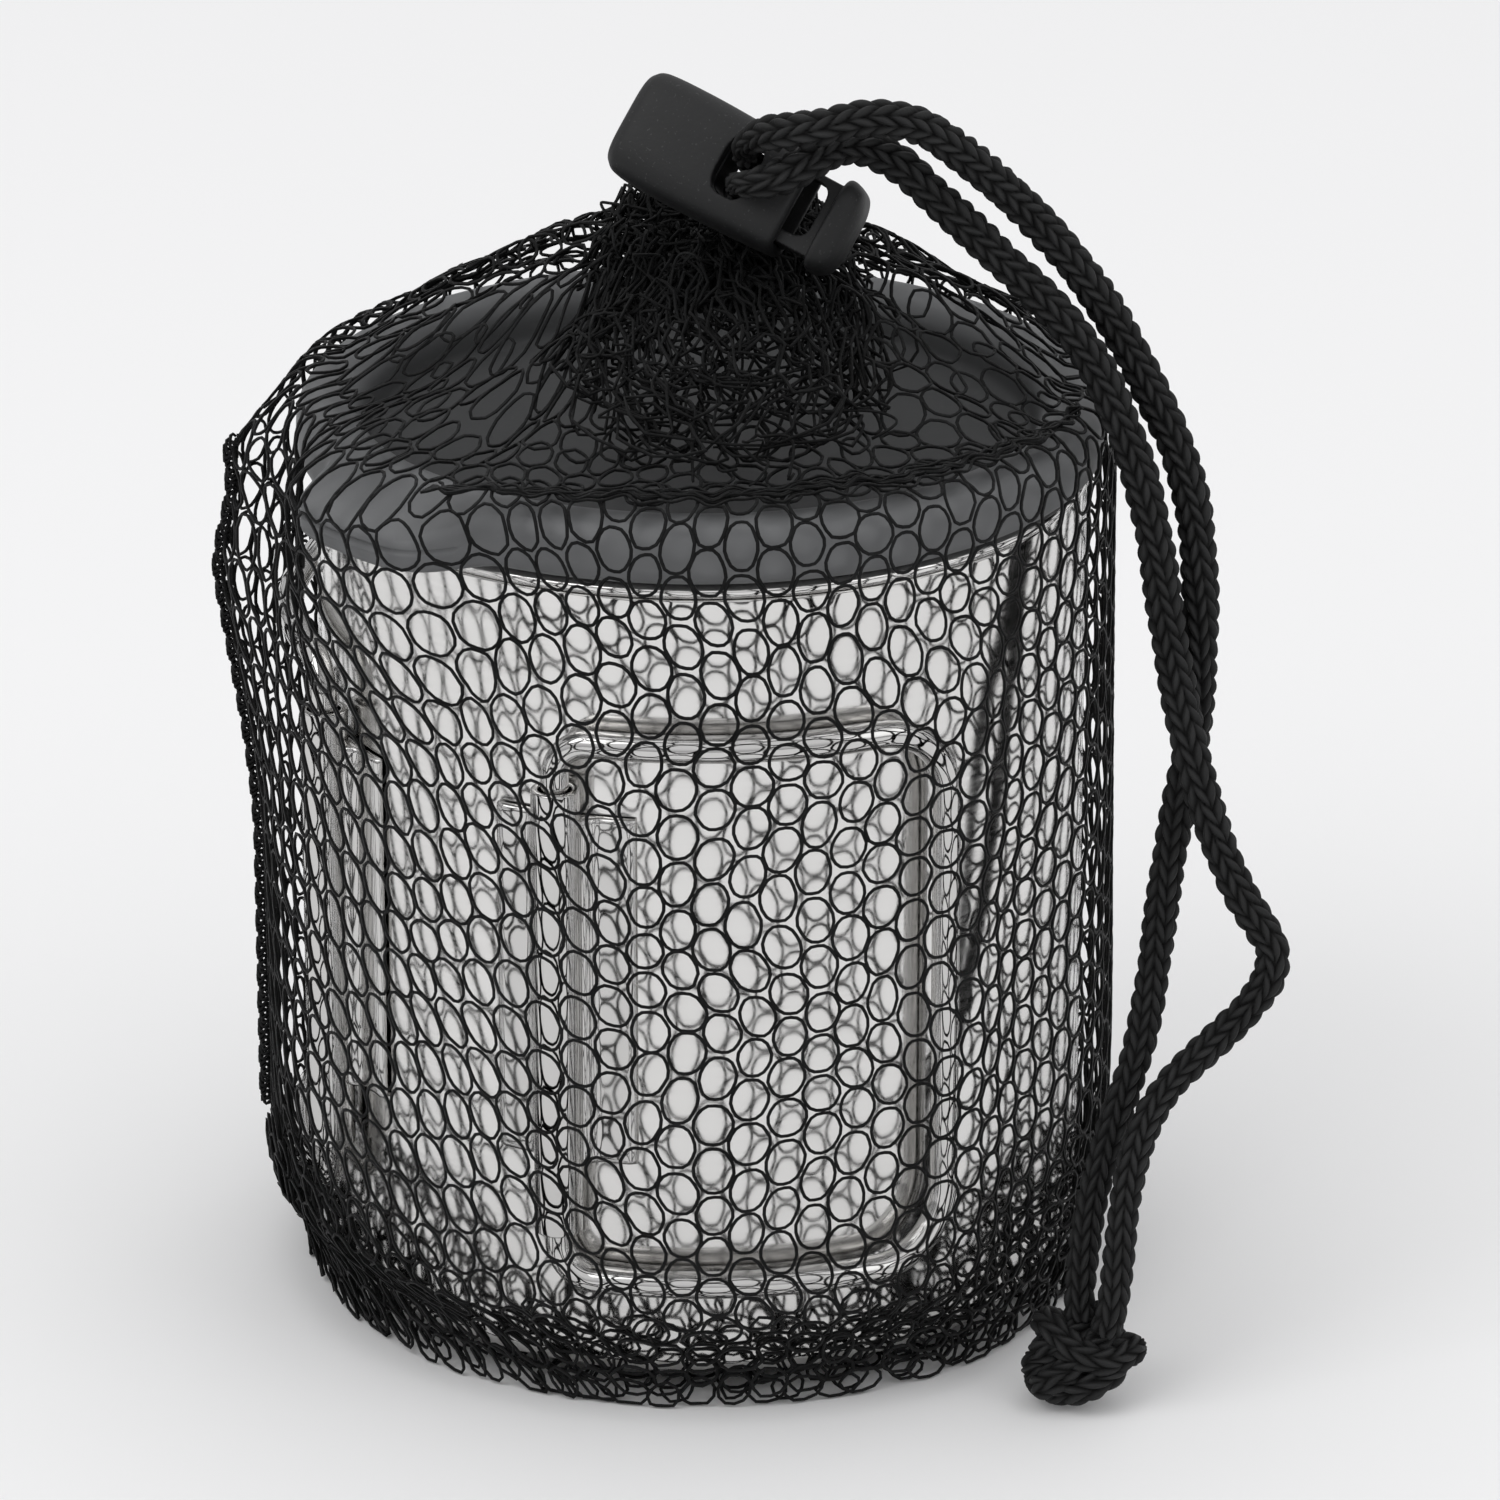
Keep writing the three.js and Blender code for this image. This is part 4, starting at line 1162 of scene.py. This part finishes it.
@dataclass
class Lock:
    """The cord lock: an oblong barrel, a spring plunger with a slot and a domed cap, and its spring."""

    finish: bpy.types.Material
    steel: bpy.types.Material
    place: Triple = (3.7, -4.0, 127.0)
    along: Triple = (0.8581, -0.3575, -0.3685)
    through: Triple = (-0.169, -0.8744, 0.4548)
    power: float = 4.0
    shell: Points = (
        (-13.05, 3.6, 2.3), (-12.9, 4.6, 3.2), (-12.4, 5.4, 4.0), (-11, 6.1, 4.7), (-6, 6.3, 5.1),
        (0, 6.2, 5.1), (6.8, 5.9, 4.7), (7.7, 5.7, 4.4), (8, 5.3, 4.0),
    )
    cap: Points = (
        (11.75, 4.9, 3.9), (11.9, 5.3, 4.3), (12.4, 5.4, 4.4), (13.2, 5.1, 4.1), (14, 4.5, 3.5),
        (14.6, 3.0, 2.1), (14.8, 1.4, 0.9),
    )

    def __post_init__(self) -> None:
        """Makes the three directions square to each other."""
        self.u, h = unit(np.array(self.along)), unit(np.array(self.through))
        self.v = unit(np.cross(h, self.u))
        self.h = np.cross(self.u, self.v)

    def at(self, u: np.ndarray, v: np.ndarray, h: np.ndarray) -> np.ndarray:
        """Points from distances along, across and through the lock."""
        u, v, h = (np.asarray(x, float)[..., None] for x in (u, v, h))
        return np.array(self.place) + u * self.u + v * self.v + h * self.h

    def oblong(self, sections: Points, around: int = 84) -> Shell:
        """A skin through rounded-oblong sections.

        Args:
            sections: [u, half v, half h] for each section.
            around: Points round a section.

        Returns:
            Points v = V |cos t|^p and h = H |sin t|^p with their signs, p = 2 / power, at each section.
        """
        line = smooth_line(sections, 0.3)[:, None]
        t = TAU * (np.arange(around) + 0.5) / around
        v = line[..., 1] * signed_power(np.cos(t), 2 / self.power)
        h = line[..., 2] * signed_power(np.sin(t), 2 / self.power)
        return skin(self.at(line[..., 0] + 0 * v, v, h))

    def block(self, low: Triple, high: Triple, soft: float = 40) -> Shell:
        """A block between two corners (u, v, h). Soft is its outline's power: 2 for oval, 40 for square."""
        t = TAU * (np.arange(48) + 0.5) / 48
        mid_u, mid_v = (low[0] + high[0]) / 2, (low[1] + high[1]) / 2
        u = mid_u + (high[0] - low[0]) / 2 * signed_power(np.cos(t), 2 / soft)
        v = mid_v + (high[1] - low[1]) / 2 * signed_power(np.sin(t), 2 / soft)
        return skin(np.stack([self.at(u, v, np.full_like(u, h)) for h in (low[2], high[2])]))

    def carved(self, name: str, parts: list[Shell], cuts: list[Shell], voxel: float) -> bpy.types.Object:
        """Joined parts less the cuts, with softly rounded edges.

        Args:
            name: Name of the piece.
            parts: Shells that are joined.
            cuts: Shells that are taken away.
            voxel: Size of the cells that the result is remade from, in millimetres.

        Returns:
            The finished object, its modifiers applied.
        """
        base = mesh_object(f"{name}.raw", parts[0])
        helpers = []
        for shells, operation in ((parts[1:], "UNION"), (cuts, "DIFFERENCE")):
            for k, shell in enumerate(shells):
                tool = mesh_object(f"{name}.{operation}{k}", shell)
                helpers.append(tool)
                modifier = base.modifiers.new(tool.name, "BOOLEAN")
                modifier.object, modifier.operation, modifier.solver = tool, operation, "EXACT"
        remade = base.modifiers.new("remade", "REMESH")
        remade.mode, remade.voxel_size, remade.use_smooth_shade = "VOXEL", voxel * MM, True
        soft = base.modifiers.new("soft", "SMOOTH")
        soft.factor, soft.iterations = 0.5, 4
        bpy.context.view_layer.update()
        ready = base.evaluated_get(bpy.context.evaluated_depsgraph_get())
        mesh = bpy.data.meshes.new_from_object(ready)
        mesh.name = name
        made = linked(name, mesh)
        mesh.polygons.foreach_set("use_smooth", np.full(len(mesh.polygons), True))
        for extra in [base, *helpers]:
            old = extra.data
            bpy.data.objects.remove(extra)
            bpy.data.meshes.remove(old)
        return made

    def build(self) -> None:
        """Makes the barrel, the plunger and the spring."""
        cavity = self.block((-9.4, -4.6, -3), (9, 4.6, 3))
        hole = self.block((-1.1, -2.9, -8), (3.1, 3.9, 8), 3.2)
        barrel = self.carved("lock_body.moulding", [self.oblong(self.shell)], [cavity, hole], 0.16)
        piece(barrel.name, barrel, self.finish, Body.BAG, Slot.LOCK, "lock_body")
        stem = self.block((-5.2, -4.3, -2.7), (12.2, 4.3, 2.7))
        slot = self.block((-1, -2.9, -6), (10.6, 3.6, 6), 6)
        recess = self.block((-6, -2.45, -2.4), (-1.5, 2.45, 2.4))
        plunger = self.carved("lock_plunger.moulding", [stem, self.oblong(self.cap)], [slot, recess], 0.15)
        piece(plunger.name, plunger, self.finish, Body.PLUNGER, Slot.LOCK, "lock_plunger")
        turns, coil_r, wire_r = np.linspace(0, 3, 110), 1.85, 0.22
        line = self.at(-9 + 1.1 * turns, coil_r * np.cos(TAU * turns), coil_r * np.sin(TAU * turns))
        coil = skin(sweep(line, np.full(len(line), wire_r), self.u, 12))
        piece("lock_spring.coil", coil, self.steel, Body.BAG, Slot.SPRING, "lock_spring")


@dataclass
class Drawstring:
    """The drawstring: its stretch inside the hem and lock, its two free ends, and their knot."""

    lock: Lock
    finish: bpy.types.Material
    braid: Braid = Braid()
    width: float = 4.3
    step: float = 0.24
    rear: Points = (
        (4.7, -9.6, 132.1), (6.6, -12.6, 134.2), (9.8, -15, 135.4), (13.2, -15.9, 136.2),
        (16.6, -15.6, 136.9), (20.3, -14.8, 136.6), (23.8, -13.5, 135.2), (27.3, -12.5, 132.5),
        (31.5, -11, 128.5), (35.7, -9.5, 123.8), (40, -9, 118.6), (43.6, -9, 113.4), (46.4, -9.5, 108.4),
        (48.9, -10.5, 103.5), (51.1, -12, 98.9), (52.8, -14, 93.3), (53.5, -16, 87.5), (53.7, -18, 81.3),
        (53.4, -20, 74), (52.7, -22, 67.9), (51.6, -23.5, 62.7), (50.6, -25, 57.5), (49.8, -26.5, 52.3),
        (49.1, -28, 47), (48.2, -30, 41.4), (47, -32, 36.4), (45.2, -34, 31.4), (43.5, -36, 26.4),
        (42.1, -38, 21.4), (41.3, -39.8, 16.4), (40.9, -41, 11.9), (40.9, -41.4, 9.4),
    )
    near: Points = (
        (4.1, -11.3, 128.4), (5.2, -13, 128.9), (7, -13.9, 129.5), (9.3, -13.6, 130.3),
        (11.4, -12.8, 131.2), (14.2, -11.2, 132.2), (16.8, -10.4, 132.2), (19.3, -10.2, 131.3),
        (21.8, -10.5, 129.8), (24.2, -10.8, 127.5), (26.8, -11, 125.1), (29.6, -11, 122.4),
        (32.2, -11.2, 119.8), (34.9, -11.6, 117.3), (37.5, -12, 114.7), (39.9, -12.5, 112),
        (41.8, -13, 109.3), (43.4, -13.8, 106.4), (44.9, -14.8, 103), (46.5, -16, 98.9),
        (47.8, -17.5, 94.3), (48.9, -19, 89.2), (49.7, -21, 83.6), (50.6, -23, 78.7), (51.5, -25.5, 73.9),
        (52.7, -28, 69.2), (54.2, -29.5, 64), (56.1, -30.5, 58.8), (58.1, -31.5, 54.6), (60.2, -32, 51.3),
        (61.4, -32.5, 48.7), (60.9, -33, 45.7), (58.8, -33.5, 42.6), (56.1, -34, 39.8), (53.3, -35, 37.4),
        (50.6, -36, 34.9), (48.5, -37.5, 32.2), (47, -39, 29), (46, -40.6, 25.5), (45.4, -42.1, 22.1),
        (45, -43.4, 18.5), (44.6, -44.3, 14.9), (44.2, -44.8, 11.9), (43.6, -44.2, 9.4),
    )

    def build(self) -> None:
        piece("drawstring_loop.cord", self.loop(), self.finish, Body.BAG, Slot.CORD, "drawstring_loop")
        knot = piece("end_knot.cord", self.knot(), self.finish, Body.BAG, Slot.CORD, "end_knot")
        for node, route, exit_u, exit_v in (
            ("rear_cord", self.rear, 1.0, 2.05),
            ("near_cord", self.near, 1.7, -1.05),
        ):
            start = self.lock.at(exit_u, exit_v, 4.6)
            line = smooth_line(np.vstack([start, route]), self.step)
            run = distances(line)
            width = self.width * (0.6 + 0.4 * smoothstep(1, 9, run))
            width = width * (1 - 0.16 * smoothstep(run[-1] * 0.45, run[-1], run))
            shape = self.braid.tube(line, width, np.array([0.0, 1.0, 0.0]))
            made = piece(f"{node}.cord", shape, self.finish, Body.BAG, Slot.CORD, node)

    def loop(self) -> Shell:
        """The cord through the lock, round inside the hem and back through the lock."""
        a = np.radians(np.arange(40, -271, -22))
        ring = np.stack([2 + 6 * np.cos(a), 2.5 + 6 * np.sin(a), np.full_like(a, 114.5)], axis=1)
        lead_in = [self.lock.at(1, 2.05, 4.6), self.lock.at(1, 2.05, -7)]
        lead_out = [self.lock.at(1, -1.05, -7), self.lock.at(1.7, -1.05, 4.6)]
        down = [[7.3, 5, 123.6], [7.7, 6.4, 121.2], [7, 6.6, 118]]
        back = [[2.6, 8.2, 117.4], [4.2, 6.4, 120]]
        line = smooth_line(np.vstack([lead_in, down, ring, back, lead_out]), self.step)
        return self.braid.tube(line, np.full(len(line), 2.9), np.array([0.13, 0.31, 0.94]), 1.0)

    def knot(self) -> Shell:
        """An overhand knot: the doubled cord wound over and under itself, and two short cut ends."""
        wound = [
            [1.4, 5.6, -0.6], [0.4, 3.4, 0.9], [-2.2, 1.9, 2.1], [-4.3, 0.2, 1.3], [-4.6, -2.0, 0.2],
            [-2.6, -3.3, 1.4], [0.4, -2.9, 2.9], [3.0, -1.2, 2.4], [3.6, 1.1, 0.6], [1.8, 2.6, -1.6],
            [-1.2, 3.0, -2.2], [-3.6, 3.6, -0.8], [-3.2, 3.2, 1.8], [-0.6, 0.6, 3.6], [2.4, -0.2, 3.4],
            [5.2, 0.9, 1.6], [6.3, 1.3, 0.8],
        ]
        second = [
            [2.6, 5.4, 1.0], [2.4, 2.8, 2.2], [0.6, 0.4, 2.6], [-1.8, -1.4, 3.0], [-3.6, -2.6, 2.2],
            [-4.9, -3.2, 1.0],
        ]
        right, up = np.array([1.0, 0, 0]), np.array([0, 0.375, 0.927])
        front = np.array([0, -0.927, 0.375])
        shells = []
        for turns in (wound, second):
            place = np.asarray(turns) @ np.stack([right, up, front]) + [41.2, -41.4, 4.9]
            line = smooth_line(place, self.step)
            line[:, 2] = np.maximum(line[:, 2], 2.2)
            width = 3.9 * np.clip(0.7 + from_ends(len(line)) * 0.06, 0, 1)
            shells.append(self.braid.tube(line, width, np.array([0.31, 0.21, 0.93]), 1.0))
        return joined(shells)


# ---------------------------------------------------------------- the studio
@dataclass
class Studio:
    """Pale floor, soft lights all round, and the camera."""

    target: Triple = (5.3, 0.0, 59.0)
    elevation: float = 22.0
    distance: float = 950.0
    lens: float = 206.57

    def build(self) -> None:
        """Sets up camera, floor, world and lights."""
        self.camera()
        self.floor()
        self.world()
        self.softbox("key", (-620, -520, 900), 700, 2.7)
        self.softbox("fill", (760, -420, 520), 600, 0.8)
        self.softbox("top", (0, 260, 1150), 900, 1.5)
        bpy.context.scene.view_settings.view_transform = "Standard"

    def camera(self) -> None:
        """The camera: it looks at the target from the front, raised by the elevation."""
        e = np.radians(self.elevation)
        away = self.distance * np.array([0, -np.cos(e), np.sin(e)])
        data = bpy.data.cameras.new("camera")
        data.lens, data.sensor_width, data.clip_end = self.lens, 36, 50
        made = linked("camera", data)
        made.location = (np.array(self.target) + away) * MM
        made.rotation_euler = (np.pi / 2 - e, 0, 0)
        bpy.context.scene.camera = made

    def floor(self) -> None:
        """A wide floor just under the bag."""
        far, height = 4000, -0.1
        corners = np.array([[x * far, y * far, height] for x, y in ((-1, -1), (1, -1), (1, 1), (-1, 1))])
        made = mesh_object("floor", Shell(corners, [np.array([[0, 1, 2, 3]])]), False)
        made.data.materials.append(PaleFloor().material())

    def world(self) -> None:
        """An even pale surrounding, a little darker towards the horizon."""
        world = bpy.data.worlds.new("surround")
        world.use_nodes = True
        tree = world.node_tree
        place = tree.nodes.new("ShaderNodeTexCoord")
        split = tree.nodes.new("ShaderNodeSeparateXYZ")
        ramp = tree.nodes.new("ShaderNodeValToRGB")
        tree.links.new(place.outputs["Generated"], split.inputs["Vector"])
        tree.links.new(split.outputs["Z"], ramp.inputs["Fac"])
        stops = ((0.0, (0.5, 0.5, 0.51, 1)), (0.45, (0.95, 0.95, 0.96, 1)))
        for element, (position, colour) in zip(ramp.color_ramp.elements, stops):
            element.position, element.color = position, colour
        background = next(n for n in tree.nodes if n.type == "BACKGROUND")
        tree.links.new(ramp.outputs["Color"], background.inputs["Color"])
        background.inputs["Strength"].default_value = 0.9
        bpy.context.scene.world = world

    def softbox(self, name: str, place: Triple, size: float, power: float) -> None:
        """A square soft light that faces the target.

        Args:
            name: Name of the light.
            place: Its middle.
            size: Side of the square.
            power: Watts.
        """
        data = bpy.data.lights.new(name, "AREA")
        data.shape, data.size, data.energy = "SQUARE", size * MM, power
        made = linked(name, data)
        back = unit(np.array(place) - np.array(self.target))
        made.location = np.array(place) * MM
        made.rotation_euler = (np.arccos(back[2]), 0, np.arctan2(back[0], -back[1]))


def main() -> None:
    """Builds the studio, then every piece in order, and logs each."""
    logging.basicConfig(level=logging.INFO, format="%(message)s")
    Studio().build()
    steel = PolishedSteel("polished_steel").material()
    wire = PolishedSteel("polished_wire", 0.61, (0.07, 0.14), (1, 1, 1)).material()
    # The lid's last number, 0.4, is painted shade: the tone that the dish's colour is multiplied by.
    lid_grey = MouldedPlastic(
        "lid_grey", (0.135, 0.138, 0.141), (0.152, 0.155, 0.158), (0.42, 0.52), 900, 0.00002, 0.006, 0.4
    ).material()
    rubber = MouldedPlastic(
        "seal_rubber", (0.3, 0.3, 0.3), (0.34, 0.34, 0.34), (0.6, 0.7), 700, 0.00002, 0.0
    ).material()
    lock_black = MouldedPlastic(
        "lock_black", (0.006, 0.0062, 0.0066), (0.009, 0.0093, 0.0098), (0.5, 0.65), 2200, 0.00006, 0.02
    ).material()
    net_yarn = NetYarn("net_yarn").material()
    cord = BraidCord("black_cord").material()
    spring = PolishedSteel("spring_steel", 0.5, (0.2, 0.3)).material()

    Mug(steel).build()
    Handle(wire, "front_handle", "front_hinge_plate", -19.8, 1, Body.FRONT_HANDLE).build()
    Handle(wire, "side_handle", "side_hinge_plate", -64.5, -1, Body.SIDE_HANDLE).build()
    Lid(lid_grey, rubber).build()
    lock = Lock(lock_black, spring)
    lock.build()
    Drawstring(lock, cord).build()
    form = BagForm()
    Net(form, net_yarn).build(Throat(form, net_yarn).build())
    Seams(form, net_yarn).build()


if __name__ == "__main__":
    main()
